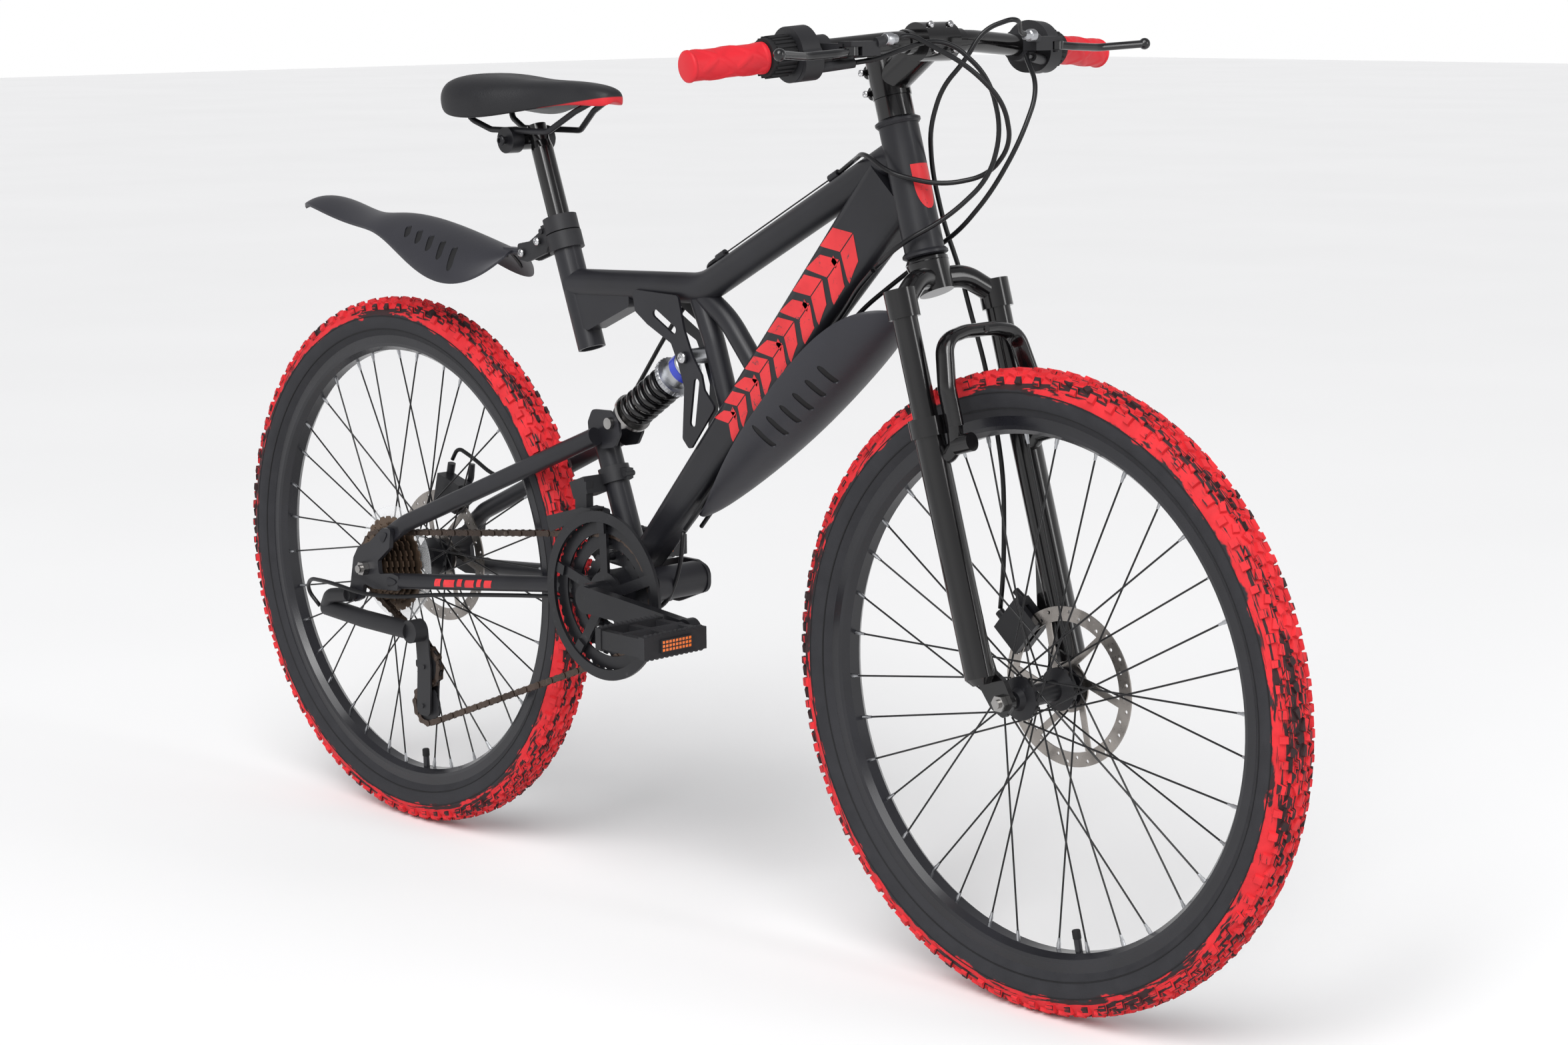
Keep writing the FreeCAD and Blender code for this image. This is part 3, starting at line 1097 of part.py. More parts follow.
def make_derailleurs():
    plane = CHAIN_PLANE
    hanger = Vector(-539, 0, 291)
    knuckle = Vector(-433, 0, 258)
    parts = [across("hanger_bolt", hanger, -86, -73.8, 7),
             bent("mount_arm", [Vector(-539, -82, 291), Vector(-575, -84, 285),
                                Vector(-592, -78, 268)], 9, 14),
             bent("parallelogram", [Vector(-592, -78, 268), Vector(-520, -74, 262),
                                    Vector(-440, -66, 258)], 11, 60),
             across("cage_knuckle", knuckle, -72, -53.5, 14)]
    for name, low, high in (("outer", plane - 7.2, plane - 5), ("inner", plane + 5, plane + 7.2)):
        outline = [(knuckle.x - 12, knuckle.z + 8), (knuckle.x + 12, knuckle.z + 8),
                   (GUIDE_WHEEL.x + 13, GUIDE_WHEEL.z), (TENSION_WHEEL.x + 13, TENSION_WHEEL.z - 12),
                   (TENSION_WHEEL.x - 13, TENSION_WHEEL.z - 12), (GUIDE_WHEEL.x - 13, GUIDE_WHEEL.z)]
        if name == "inner":
            outline = outline[2:]
            outline[0] = (GUIDE_WHEEL.x + 13, GUIDE_WHEEL.z + 14)
            outline[-1] = (GUIDE_WHEEL.x - 13, GUIDE_WHEEL.z + 14)
        parts.append(plate("cage_" + name, outline, (low + high) / 2, 2.2, 8))
    for name, centre in (("guide", GUIDE_WHEEL), ("tension", TENSION_WHEEL)):
        parts.append(across(name + "_bolt", centre, plane - 9, plane + 9, 2.6))
        jockey = toothed(name + "_jockey_disc", centre, plane, 2, pitch_radius(11) + 2, 11, 2.68)
        finish_node(jockey, name + "_pulley")
    finish_node(fuse("rear_derailleur_whole", *parts), "rear_derailleur")

    tube_up = (Vector(-149, 0, 527) - CRANK).normalize()
    clamp_middle = CRANK + tube_up * 134
    band = pipe("front_clamp_band", clamp_middle - tube_up * 9, clamp_middle + tube_up * 9, 18, 14.35)
    link = block("front_link", clamp_middle + Vector(-14, -26, -12), (26, 34, 20),
                 Rotation(Z_AXIS, tube_up))
    ear = across("front_clamp_bolt", clamp_middle + Vector(24, 0, 4), -7, 7, 3.2)
    lug = block("front_clamp_lug", clamp_middle + Vector(20, 0, 4), (12, 10, 12))
    cage_outline = [(-186, 428), (-120, 446), (-96, 444), (-98, 434), (-130, 430), (-180, 410)]
    outer_cage = plate("front_cage_outer", cage_outline, -56.2, 1.2, 3)
    inner_cage = plate("front_cage_inner", cage_outline, -37, 1.4, 3)
    top_bridge = block("front_cage_bridge", Vector(-112, -46.7, 444.5), (10, 20.8, 2.4),
                       Rotation(Y_AXIS, -2))
    hang = block("front_cage_hanger", Vector(-140, -38, 452), (20, 10, 40))
    tube_tool = rod("front_clamp_tool", CRANK, clamp_middle + tube_up * 40, 14.35)
    finish_node(cut("front_derailleur_whole", fuse("front_derailleur_parts", band, link, ear, lug,
                                                   outer_cage, inner_cage, top_bridge, hang),
                    tube_tool), "front_derailleur")


# ---------------------------------------------------------------- cables

def housing(name, points):
    """An outer cable with tangent arcs as large as its runs allow."""
    return bent(name, points, SIZE["cable_radius"])


def from_socket(inner, outer, reach):
    """The first two points of a housing that leaves a socket along its axis."""
    outward = (outer - inner).normalize()
    return [outer + outward * 0.3, outer + outward * reach]


def make_cables(stops, slope):
    shift_right = from_socket(on_bar(162, -14, 20, -1), on_bar(128, -12, 30, -1), 22)
    shift_left = from_socket(on_bar(162, -14, 20, 1), on_bar(128, -12, 30, 1), 22)
    brake_right = from_socket(on_bar(116, 6, 46, -1), on_bar(98, 8, 47, -1), 22)
    brake_left = from_socket(on_bar(116, 6, 46, 1), on_bar(98, 8, 47, 1), 16)
    rear_stop, front_stop = stops
    rear_gear = shift_right + [
        Vector(424, -44, 974), Vector(440, 4, 932), Vector(440, 22, 880), Vector(424, 22, 832),
        Vector(394, -4, 794), Vector(357, -36, 767), Vector(318, -31, 741)]
    rear_brake = brake_right + [
        Vector(444, -30, 944), Vector(456, 8, 908), Vector(446, 30, 866), Vector(416, 30, 834),
        Vector(378, 2, 824), Vector(341, -35, 836), Vector(300, -30, 856),
        front_stop + slope * 32 + Z_AXIS * 2, front_stop + slope * 7.3]
    front_gear = shift_left + [
        Vector(430, 88, 918), Vector(428, 62, 866), Vector(408, 42, 816), Vector(374, 34, 778),
        Vector(342, 31, 757), Vector(315, 31, 738)]
    finish_node(group("control_cables_group", housing("rear_gear_housing", rear_gear),
                      housing("rear_brake_housing", rear_brake),
                      housing("front_gear_housing", front_gear)), "control_cables")

    front_brake = brake_left + [
        Vector(426, 62, 990), Vector(408, 30, 978), Vector(397, 16, 948), Vector(370, 10, 920),
        Vector(354, 10, 880), Vector(338, 30, 836), Vector(350, 36, 780), Vector(363, 44, 738),
        Vector(371, 51, 696),
        Vector(391, 53, 640), Vector(404, 54, 585), Vector(414, 56, 528), Vector(417, 54, 470),
        Vector(419.8, 50, 427), Vector(415.6, 50.3, 391)]
    finish_node(housing("front_brake_hose_whole", front_brake), "front_brake_hose")

    brake_wire = rod("brake_wire", front_stop - slope * 7.3, rear_stop + slope * 7.3,
                     SIZE["wire_radius"])
    runs = [brake_wire]
    for side, sign in SIDES:
        runs.append(housing("gear_run_" + side,
                            [Vector(313.4, sign * 30.8, 737), Vector(286, sign * 25, 717),
                             Vector(254, sign * 13, 690), Vector(190, sign * 12, 627),
                             Vector(120, sign * 12, 557), Vector(50, sign * 12, 482),
                             Vector(2, sign * 12, 430)]))
    finish_node(group("frame_cables_group", *runs), "frame_cables")

    gear_loop = [Vector(0, -13, 427), Vector(-5, -14, 385), Vector(-24, -18, 340),
                 Vector(-72, -25, 324), Vector(-128, -29, 327), Vector(-188, -33, 330),
                 Vector(-250, -40, 324), Vector(-330, -50, 315), Vector(-404, -60, 306),
                 Vector(-452, -72, 298), Vector(-500, -90, 298), Vector(-556, -98, 306),
                 Vector(-604, -94, 304), Vector(-622, -86, 286), Vector(-605, -80, 267)]
    brake_loop = [rear_stop - slope * 7.3, rear_stop - slope * 24, Vector(6, 24, 708),
                  Vector(-26, 28, 684), Vector(-66, 27, 642), Vector(-110, 28, 588),
                  Vector(-150, 31, 542), Vector(-190, 33, 516), Vector(-250, 39, 489),
                  Vector(-310, 46, 463), Vector(-370, 52, 439), Vector(-424, 57, 434),
                  Vector(-466, 58, 452), Vector(-491, 54, 463), Vector(-500.2, 52, 447)]
    finish_node(group("swing_cables_group", housing("gear_loop", gear_loop),
                      housing("brake_loop", brake_loop)), "swing_cables")


def write_nodes():
    doc.recompute()
    failed = [item.Name for item in doc.Objects
              if "Invalid" in item.State or "Error" in item.State]
    if failed:
        raise RuntimeError("failed objects: %s" % failed)
    for item in NODES:
        if item.Shape.isNull() or not item.Shape.isValid():
            raise RuntimeError("bad shape: " + item.Label)
    os.makedirs("parts", exist_ok=True)
    for item in NODES:
        item.Shape.exportStep(os.path.join("parts", item.Label + ".step"))
    print("%d nodes written" % len(NODES))


down_bar, stop_places, top_slope = make_front_frame()
make_fenders(down_bar)
make_seat()
fork_tools = make_fork()
make_stem_and_bar()
make_controls()
make_wheels()
stay_tools = make_swingarm()
make_calipers(fork_tools, stay_tools)
make_shock()
make_chain()
make_freewheel()
make_cranks()
make_derailleurs()
make_cables(stop_places, top_slope)
write_nodes()
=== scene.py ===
import json
import math

import bmesh
import bpy
from mathutils import Matrix, Vector


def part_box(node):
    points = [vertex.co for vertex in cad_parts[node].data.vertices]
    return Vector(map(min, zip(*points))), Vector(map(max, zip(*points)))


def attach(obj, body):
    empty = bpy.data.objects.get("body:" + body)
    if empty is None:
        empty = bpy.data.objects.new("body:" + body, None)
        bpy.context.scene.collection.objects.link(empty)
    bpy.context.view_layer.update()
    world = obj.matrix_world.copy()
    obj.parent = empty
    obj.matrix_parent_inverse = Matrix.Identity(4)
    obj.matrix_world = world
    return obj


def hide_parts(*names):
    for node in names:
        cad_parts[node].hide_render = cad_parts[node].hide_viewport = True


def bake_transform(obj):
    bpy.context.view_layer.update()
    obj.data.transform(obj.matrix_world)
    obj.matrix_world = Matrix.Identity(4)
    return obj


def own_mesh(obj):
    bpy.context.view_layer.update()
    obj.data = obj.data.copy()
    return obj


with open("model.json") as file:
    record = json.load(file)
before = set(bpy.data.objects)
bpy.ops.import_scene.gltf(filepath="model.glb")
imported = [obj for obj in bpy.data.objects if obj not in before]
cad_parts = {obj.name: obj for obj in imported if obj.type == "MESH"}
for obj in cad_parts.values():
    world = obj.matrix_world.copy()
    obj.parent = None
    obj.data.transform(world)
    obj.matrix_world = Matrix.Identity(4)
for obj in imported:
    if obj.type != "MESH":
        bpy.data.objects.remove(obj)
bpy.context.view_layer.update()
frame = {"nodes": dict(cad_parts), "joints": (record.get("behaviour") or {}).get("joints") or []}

MM = 0.001
CHAIN_PITCH = 12.7 * MM
CHAINRING_RADIUS = 68.8 * MM
X_AXIS = Vector((1, 0, 0))
Y_AXIS = Vector((0, 1, 0))
Z_AXIS = Vector((0, 0, 1))
JOINTS = {joint["name"]: joint for joint in frame["joints"]}
SIDES = (("right", -1), ("left", 1))


def joint_place(name):
    return Vector(JOINTS[name]["pos_m"])


def joint_axis(name):
    return Vector(JOINTS[name]["axis"]).normalized()


STEER_BASE = joint_place("steering_turn")
STEER_UP = joint_axis("steering_turn")
STEER_AHEAD = Y_AXIS.cross(STEER_UP).normalized()
FRONT_HUB = joint_place("front_wheel_spin")
REAR_HUB = joint_place("rear_wheel_spin")
CRANK = joint_place("crank_spin")
SHOCK_TOP = joint_place("shock_swing")
SHOCK_UP = joint_axis("shock_stroke")
SADDLE_PIVOT = joint_place("saddle_tilt")


def steer(up, ahead=0.0, side=0.0):
    """A place, from millimetres along the steering axis, ahead of it and to the left."""
    return STEER_BASE + (STEER_UP * up + STEER_AHEAD * ahead + Y_AXIS * side) * MM


def new_object(name, data):
    item = bpy.data.objects.new(name, data)
    bpy.context.scene.collection.objects.link(item)
    return item


# ------------------------------------------------------------------ materials

def nodes_of(name):
    look = bpy.data.materials.new(name)
    look.use_nodes = True
    tree = look.node_tree
    return look, tree, tree.nodes["Principled BSDF"]


def add(tree, kind, **values):
    """A new node; a value goes to its input of that name, or else to its property."""
    node = tree.nodes.new(kind)
    for key, value in values.items():
        if key in node.inputs:
            node.inputs[key].default_value = value
        else:
            setattr(node, key, value)
    return node


def colour(rgb):
    return (rgb[0], rgb[1], rgb[2], 1.0)


def calculate(tree, kind, operation, *inputs):
    """The output of a math node; its inputs are numbers, vectors or other nodes' outputs."""
    node = add(tree, kind, operation=operation)
    for socket, value in zip(node.inputs, inputs):
        if isinstance(value, bpy.types.NodeSocket):
            tree.links.new(value, socket)
        else:
            socket.default_value = value
    return node.outputs["Value" if operation == "LENGTH" else 0]


def numbers(tree, operation, *inputs):
    return calculate(tree, "ShaderNodeMath", operation, *inputs)


def vectors(tree, operation, *inputs):
    return calculate(tree, "ShaderNodeVectorMath", operation, *inputs)


def mix_colours(tree, share, first, second):
    """A colour mix; the ends are colours or node outputs."""
    node = add(tree, "ShaderNodeMix", data_type="RGBA")
    tree.links.new(share, node.inputs[0])
    for slot, end in ((6, first), (7, second)):
        if isinstance(end, (tuple, list)):
            node.inputs[slot].default_value = colour(end)
        else:
            tree.links.new(end, node.inputs[slot])
    return node.outputs[2]


def noise(tree, scale, stretch=(1, 1, 1), detail=4.0, roughness=0.55, distortion=0.0, shift=0.0):
    place = add(tree, "ShaderNodeTexCoord")
    mapping = add(tree, "ShaderNodeMapping")
    mapping.inputs["Scale"].default_value = stretch
    mapping.inputs["Location"].default_value = (shift, shift * 0.7, shift * 1.3)
    tree.links.new(place.outputs["Object"], mapping.inputs["Vector"])
    texture = add(tree, "ShaderNodeTexNoise", Scale=scale, Detail=detail, Roughness=roughness,
                  Distortion=distortion)
    tree.links.new(mapping.outputs["Vector"], texture.inputs["Vector"])
    return texture.outputs["Fac"]


def ramp(tree, value, low, high):
    """The value's place between low and high, from 0 to 1."""
    node = add(tree, "ShaderNodeMapRange", clamp=True)
    node.inputs["From Min"].default_value = low
    node.inputs["From Max"].default_value = high
    tree.links.new(value, node.inputs["Value"])
    return node.outputs["Result"]


def between(tree, value, low, high):
    """A value from 0 to 1 spread out to run from low to high."""
    node = add(tree, "ShaderNodeMapRange", clamp=True)
    node.inputs["To Min"].default_value = low
    node.inputs["To Max"].default_value = high
    tree.links.new(value, node.inputs["Value"])
    return node.outputs["Result"]


def bump(tree, shader, height, strength, distance):
    node = add(tree, "ShaderNodeBump", Strength=strength, Distance=distance)
    tree.links.new(height, node.inputs["Height"])
    tree.links.new(node.outputs["Normal"], shader.inputs["Normal"])


def surface(name, rgb, rough, metallic=0.0, coat=0.0, variety=0.25, grain=900.0, relief=0.12,
            stretch=(1, 1, 1), wear=None, specular=0.5):
    """A finish with slow colour changes, uneven roughness, fine relief and, if asked, wear."""
    look, tree, shader = nodes_of(name)
    slow = noise(tree, 14.0, detail=3.0)
    fine = noise(tree, grain, stretch, detail=2.0)
    darker = tuple(channel * (1 - variety) for channel in rgb)
    lighter = tuple(min(1.0, channel * (1 + variety)) for channel in rgb)
    base = mix_colours(tree, ramp(tree, slow, 0.3, 0.7), darker, lighter)
    if wear:
        marks = ramp(tree, noise(tree, 60.0, detail=8.0, roughness=0.7, shift=3.1), 0.62, 0.74)
        base = mix_colours(tree, marks, base, wear)
    tree.links.new(base, shader.inputs["Base Color"])
    tree.links.new(between(tree, slow, rough * 0.82, min(1.0, rough * 1.22)),
                   shader.inputs["Roughness"])
    shader.inputs["Metallic"].default_value = metallic
    shader.inputs["Coat Weight"].default_value = coat
    shader.inputs["Coat Roughness"].default_value = 0.12
    shader.inputs["Specular IOR Level"].default_value = specular
    bump(tree, shader, fine, relief, 0.0004)
    return look


def tyre_look(name, hub):
    """Red tread streaked with black, and a dark sidewall below the shoulder."""
    look, tree, shader = nodes_of(name)
    place = add(tree, "ShaderNodeTexCoord").outputs["Object"]
    parts = add(tree, "ShaderNodeSeparateXYZ")
    tree.links.new(place, parts.inputs[0])
    from_hub = vectors(tree, "SUBTRACT", place, (hub.x, 0, hub.z))
    from_hub = vectors(tree, "MULTIPLY", from_hub, (1, 0, 1))
    around = vectors(tree, "NORMALIZE", from_hub)
    layers = []
    for spread, fine, share in ((2.6, 150.0, 1.0), (8.0, 420.0, 0.42)):
        wide = vectors(tree, "MULTIPLY", around, (spread, spread, spread))
        thin = add(tree, "ShaderNodeCombineXYZ")
        tree.links.new(numbers(tree, "MULTIPLY", parts.outputs["Y"], fine), thin.inputs["Y"])
        streaks = add(tree, "ShaderNodeTexNoise", Scale=1.0, Detail=4.0, Roughness=0.6,
                      Distortion=0.7)
        tree.links.new(vectors(tree, "ADD", wide, thin.outputs["Vector"]),
                       streaks.inputs["Vector"])
        layers.append(numbers(tree, "MULTIPLY", streaks.outputs["Fac"], share))
    black = ramp(tree, numbers(tree, "ADD", *layers), 0.725, 0.755)
    shade = ramp(tree, noise(tree, 46.0, detail=6.0), 0.25, 0.75)
    red = mix_colours(tree, shade, (0.50, 0.012, 0.018), (0.72, 0.026, 0.034))
    soot = mix_colours(tree, shade, (0.012, 0.006, 0.007), (0.04, 0.014, 0.016))
    tread = mix_colours(tree, black, red, soot)
    ragged = numbers(tree, "MULTIPLY_ADD", noise(tree, 34.0, detail=4.0, shift=5.0), 0.02,
                     vectors(tree, "LENGTH", from_hub))
    wall = mix_colours(tree, shade, (0.013, 0.013, 0.016), (0.026, 0.026, 0.03))
    upper = ramp(tree, ragged, SHOULDER_RADIUS, SHOULDER_RADIUS + 0.0015)
    tree.links.new(mix_colours(tree, upper, wall, tread), shader.inputs["Base Color"])
    tree.links.new(between(tree, shade, 0.62, 0.82), shader.inputs["Roughness"])
    shader.inputs["Specular IOR Level"].default_value = 0.35
    bump(tree, shader, noise(tree, 700.0, detail=3.0), 0.25, 0.0006)
    return look


def paint_look(name):
    """Red paint with thin black cracks and specks."""
    look, tree, shader = nodes_of(name)
    cracks = ramp(tree, noise(tree, 85.0, detail=9.0, roughness=0.72, distortion=1.4), 0.60, 0.64)
    fine = ramp(tree, noise(tree, 320.0, detail=6.0, roughness=0.7, shift=4.0), 0.66, 0.71)
    tone = ramp(tree, noise(tree, 26.0, detail=3.0), 0.3, 0.7)
    red = mix_colours(tree, tone, (0.56, 0.012, 0.018), (0.70, 0.024, 0.030))
    both = numbers(tree, "MAXIMUM", cracks, fine)
    tree.links.new(mix_colours(tree, both, red, (0.03, 0.028, 0.032)),
                   shader.inputs["Base Color"])
    shader.inputs["Roughness"].default_value = 0.42
    bump(tree, shader, both, 0.2, 0.0002)
    return look


def brushed_look(name, rgb, rough, disc=False):
    """Bare steel with fine brush marks, which on a disc are longer in its plane."""
    look, tree, shader = nodes_of(name)
    stretch = (0.4, 1, 0.4) if disc else (1, 1, 1)
    marks = noise(tree, 900.0 if disc else 1600.0, stretch, detail=2.0)
    tone = ramp(tree, noise(tree, 40.0, detail=4.0), 0.3, 0.75)
    dim = tuple(channel * 0.72 for channel in rgb)
    tree.links.new(mix_colours(tree, tone, dim, rgb), shader.inputs["Base Color"])
    tree.links.new(between(tree, marks, rough * 0.7, rough * 1.3), shader.inputs["Roughness"])
    shader.inputs["Metallic"].default_value = 1.0
    bump(tree, shader, marks, 0.12, 0.0002)
    return look


SHOULDER_RADIUS = 0.3135    # metres from the hub; the tread colour starts here
LOOKS = {
    "satin_black": surface("satin_black", (0.0115, 0.0115, 0.0145), 0.40, coat=0.06, grain=1400.0,
                           relief=0.10, specular=0.34),
    "gloss_black": surface("gloss_black", (0.0035, 0.0032, 0.0036), 0.16, coat=0.3, relief=0.02,
                           variety=0.15, specular=0.4),
    "black_plastic": surface("black_plastic", (0.014, 0.014, 0.016), 0.5, grain=1100.0,
                             relief=0.3, specular=0.36),
    "fender_plastic": surface("fender_plastic", (0.020, 0.020, 0.026), 0.44, grain=900.0,
                              relief=0.25, variety=0.12, specular=0.42),
    "cable_black": surface("cable_black", (0.004, 0.004, 0.005), 0.32, relief=0.05,
                           specular=0.35),
    "steel_black": surface("steel_black", (0.010, 0.010, 0.012), 0.34, metallic=0.2,
                           wear=(0.035, 0.035, 0.04), specular=0.4),
    "lever_black": surface("lever_black", (0.005, 0.005, 0.006), 0.2, coat=0.3, relief=0.04,
                           specular=0.4),
    # real rubber black, also used on the mudguard slot floors as painted shade
    "rubber_and_slot_shade_black": surface("rubber_and_slot_shade_black", (0.010, 0.010, 0.011), 0.66, grain=1300.0,
                            relief=0.35, specular=0.3),
    "rim_black": surface("rim_black", (0.009, 0.009, 0.012), 0.26, coat=0.15, relief=0.05,
                         specular=0.4),
    "spoke_black": surface("spoke_black", (0.008, 0.008, 0.009), 0.3, metallic=0.3, relief=0.05),
    "grip_red": surface("grip_red", (0.60, 0.012, 0.022), 0.5, grain=800.0, relief=0.3,
                        variety=0.12, specular=0.35),
    "saddle_black": surface("saddle_black", (0.008, 0.008, 0.010), 0.5, grain=520.0, relief=0.55,
                            variety=0.2, specular=0.4),
    "bright_steel": brushed_look("bright_steel", (0.42, 0.41, 0.40), 0.24),
    "rotor_steel": brushed_look("rotor_steel", (0.40, 0.37, 0.345), 0.3, disc=True),
    "silver": brushed_look("silver", (0.50, 0.51, 0.53), 0.3),
    "chrome": brushed_look("chrome", (0.62, 0.62, 0.63), 0.14),
    "chain_brown": surface("chain_brown", (0.070, 0.050, 0.040), 0.34, metallic=0.8,
                           wear=(0.22, 0.19, 0.16), variety=0.4),
    "cog_bronze": surface("cog_bronze", (0.115, 0.080, 0.056), 0.36, metallic=0.8,
                          wear=(0.03, 0.025, 0.022), variety=0.3),
    "blue_band": surface("blue_band", (0.015, 0.035, 0.40), 0.3, coat=0.3),
    "reflector": surface("reflector", (0.82, 0.16, 0.008), 0.2, coat=0.5, relief=0.1),
    "decal_red": paint_look("decal_red"),
}


def clear_look():
    look, tree, shader = nodes_of("clear_plastic")
    tint = ramp(tree, noise(tree, 30.0), 0.3, 0.7)
    tree.links.new(mix_colours(tree, tint, (0.78, 0.80, 0.82), (0.9, 0.91, 0.92)),
                   shader.inputs["Base Color"])
    shader.inputs["Roughness"].default_value = 0.18
    shader.inputs["Alpha"].default_value = 0.22
    shader.inputs["Coat Weight"].default_value = 0.4
    bump(tree, shader, noise(tree, 500.0), 0.1, 0.0003)
    return look


LOOKS["clear_plastic"] = clear_look()

NODE_LOOKS = {
    "satin_black": ("head_tube", "top_tube", "down_tube", "seat_tube", "frame_struts",
                    "shock_mount", "swing_seat_tube", "shock_ears", "chainstays", "seatstays"),
    "gloss_black": ("fork_crown", "stanchions", "fork_lowers", "stem", "handlebar", "seatpost"),
    "black_plastic": ("fender_bracket", "control_mounts", "pedal_right", "pedal_left",
                      "rear_derailleur", "front_derailleur", "guide_pulley", "tension_pulley"),
    "fender_plastic": ("down_tube_fender", "rear_fender"),
    "rubber_and_slot_shade_black": ("twist_grip_right", "twist_grip_left"),
    "cable_black": ("control_cables", "frame_cables", "swing_cables", "front_brake_hose"),
    "saddle_black": ("saddle_pad",),
    "steel_black": ("saddle_rails", "crank_arms", "chainrings", "front_hub", "rear_hub",
                    "front_caliper", "rear_caliper", "shock_spring"),
    "lever_black": ("brake_lever_right", "brake_lever_left"),
    "rim_black": ("front_rim", "rear_rim"),
    "spoke_black": ("front_spokes", "rear_spokes"),
    "rotor_steel": ("front_rotor", "rear_rotor"),
    "bright_steel": ("front_axle", "rear_axle", "suspension_bolts", "shock_shaft"),
    "silver": ("shock_body",),
    "cog_bronze": ("freewheel",),
    "chain_brown": ("chain",),
    "grip_red": ("grips",),
    "clear_plastic": ("spoke_guard",),
}
SHARP_ANGLE = math.radians(32)


def dress(item, look):
    item.data.materials.clear()
    item.data.materials.append(look)
    for polygon in item.data.polygons:
        polygon.use_smooth = True
    item.data.set_sharp_from_angle(angle=SHARP_ANGLE)


for look_name, node_names in NODE_LOOKS.items():
    for node_name in node_names:
        dress(frame["nodes"][node_name], LOOKS[look_name])
tyre_looks = {"front": tyre_look("front_tread", FRONT_HUB),
              "rear": tyre_look("rear_tread", REAR_HUB)}
for prefix, look in tyre_looks.items():
    dress(frame["nodes"][prefix + "_tyre"], look)


# ------------------------------------------------------------------ mesh building

class Shape:
    """Vertices and faces of one piece, in metres in the frame that the CAD uses."""

    def __init__(self):
        self.points = []
        self.faces = []

    def loft(self, rings, closed=False, caps=False):
        """Joins rings of points; every ring is closed on itself."""
        first = len(self.points)
        size = len(rings[0])
        for ring in rings:
            self.points.extend(Vector(point) for point in ring)
        spans = len(rings) if closed else len(rings) - 1
        for row in range(spans):
            start, after = first + row * size, first + (row + 1) % len(rings) * size
            for column in range(size):
                beside = (column + 1) % size
                self.faces.append((start + column, start + beside, after + beside, after + column))
        if caps:
            self.faces.append(tuple(range(first + size - 1, first - 1, -1)))
            last = first + (len(rings) - 1) * size
            self.faces.append(tuple(range(last, last + size)))
        return self

    def strip(self, rows):
        """Joins open rows of points into a sheet."""
        first = len(self.points)
        size = len(rows[0])
        for row in rows:
            self.points.extend(Vector(point) for point in row)
        for line in range(len(rows) - 1):
            for column in range(size - 1):
                corner = first + line * size + column
                self.faces.append((corner, corner + 1, corner + size + 1, corner + size))
        return self

    def block(self, centre, ahead, side, up, taper=1.0):
        """A six-sided lump; its three half sizes are vectors."""
        low = [centre - up + ahead * a + side * s for a, s in ((-1, -1), (1, -1), (1, 1), (-1, 1))]
        high = [centre + up + (ahead * a + side * s) * taper
                for a, s in ((-1, -1), (1, -1), (1, 1), (-1, 1))]
        return self.loft([low, high], caps=True)

    def turned(self, start, axis, profile, count=32, cap=True):
        """A round piece; the profile lists distances along the axis and radii, in metres."""
        axis = Vector(axis).normalized()
        helper = X_AXIS if abs(axis.x) < 0.8 else Z_AXIS
        first = axis.cross(helper).normalized()
        second = axis.cross(first)
        rings = []
        for along, radius in profile:
            rings.append([start + axis * along
                          + (first * math.cos(turn) + second * math.sin(turn)) * radius
                          for turn in (2 * math.pi * step / count for step in range(count))])
        return self.loft(rings, caps=cap)

    def piece(self, name, look, slot, body=None, replaces=(), bevel=0.0, smooth=0,
              sharp=SHARP_ANGLE):
        """Makes the gathered mesh an object of the scene, with its look and body; the slot is not
        used.
        """
        mesh = bpy.data.meshes.new(name)
        mesh.from_pydata([tuple(point) for point in self.points], [], self.faces)
        build = bmesh.new()
        build.from_mesh(mesh)
        bmesh.ops.recalc_face_normals(build, faces=build.faces)
        build.to_mesh(mesh)
        build.free()
        item = new_object(name, mesh)
        mesh.materials.append(LOOKS[look] if isinstance(look, str) else look)
        for polygon in mesh.polygons:
            polygon.use_smooth = True
        mesh.set_sharp_from_angle(angle=sharp)
        if bevel:
            modifier = item.modifiers.new("edges", "BEVEL")
            modifier.width = bevel
            modifier.segments = 2
            modifier.angle_limit = math.radians(40)
        if smooth:
            modifier = item.modifiers.new("smooth", "SUBSURF")
            modifier.levels = smooth
            modifier.render_levels = smooth
        if body:
            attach(item, body)
        if replaces:
            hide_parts(*replaces)
        return item


def spline(values, share):
    """Catmull-Rom through evenly spaced tuples; the share runs from 0 to 1."""
    place = min(max(share, 0.0), 1.0) * (len(values) - 1)
    index = min(int(place), len(values) - 2)
    step = place - index
    before = values[max(index - 1, 0)]
    first, second = values[index], values[index + 1]
    after = values[min(index + 2, len(values) - 1)]
    return tuple(0.5 * (2 * b + (c - a) * step + (2 * a - 5 * b + 4 * c - d) * step ** 2
                        + (3 * b - a - 3 * c + d) * step ** 3)
                 for a, b, c, d in zip(before, first, second, after))


# ------------------------------------------------------------------ wheels

TYRE_HALF = ((0, 322.6), (7, 322.2), (14, 320.0), (19.5, 314.8), (23.0, 307), (23.9, 299),
             (22.4, 291), (19, 284.5), (14.8, 279.5), (13.2, 275.5))


def tyre_radius_at(across):
    """The carcass radius, in millimetres, at a distance from the middle plane."""
    across = abs(across)
    for (near, high), (far, low) in zip(TYRE_HALF, TYRE_HALF[1:]):
        if across <= far:
            return high + (low - high) * (across - near) / (far - near)
    return TYRE_HALF[5][1]


def wheel_place(hub, radius, turn, side):
    return hub + Vector((math.cos(turn) * radius, side, math.sin(turn) * radius)) * MM


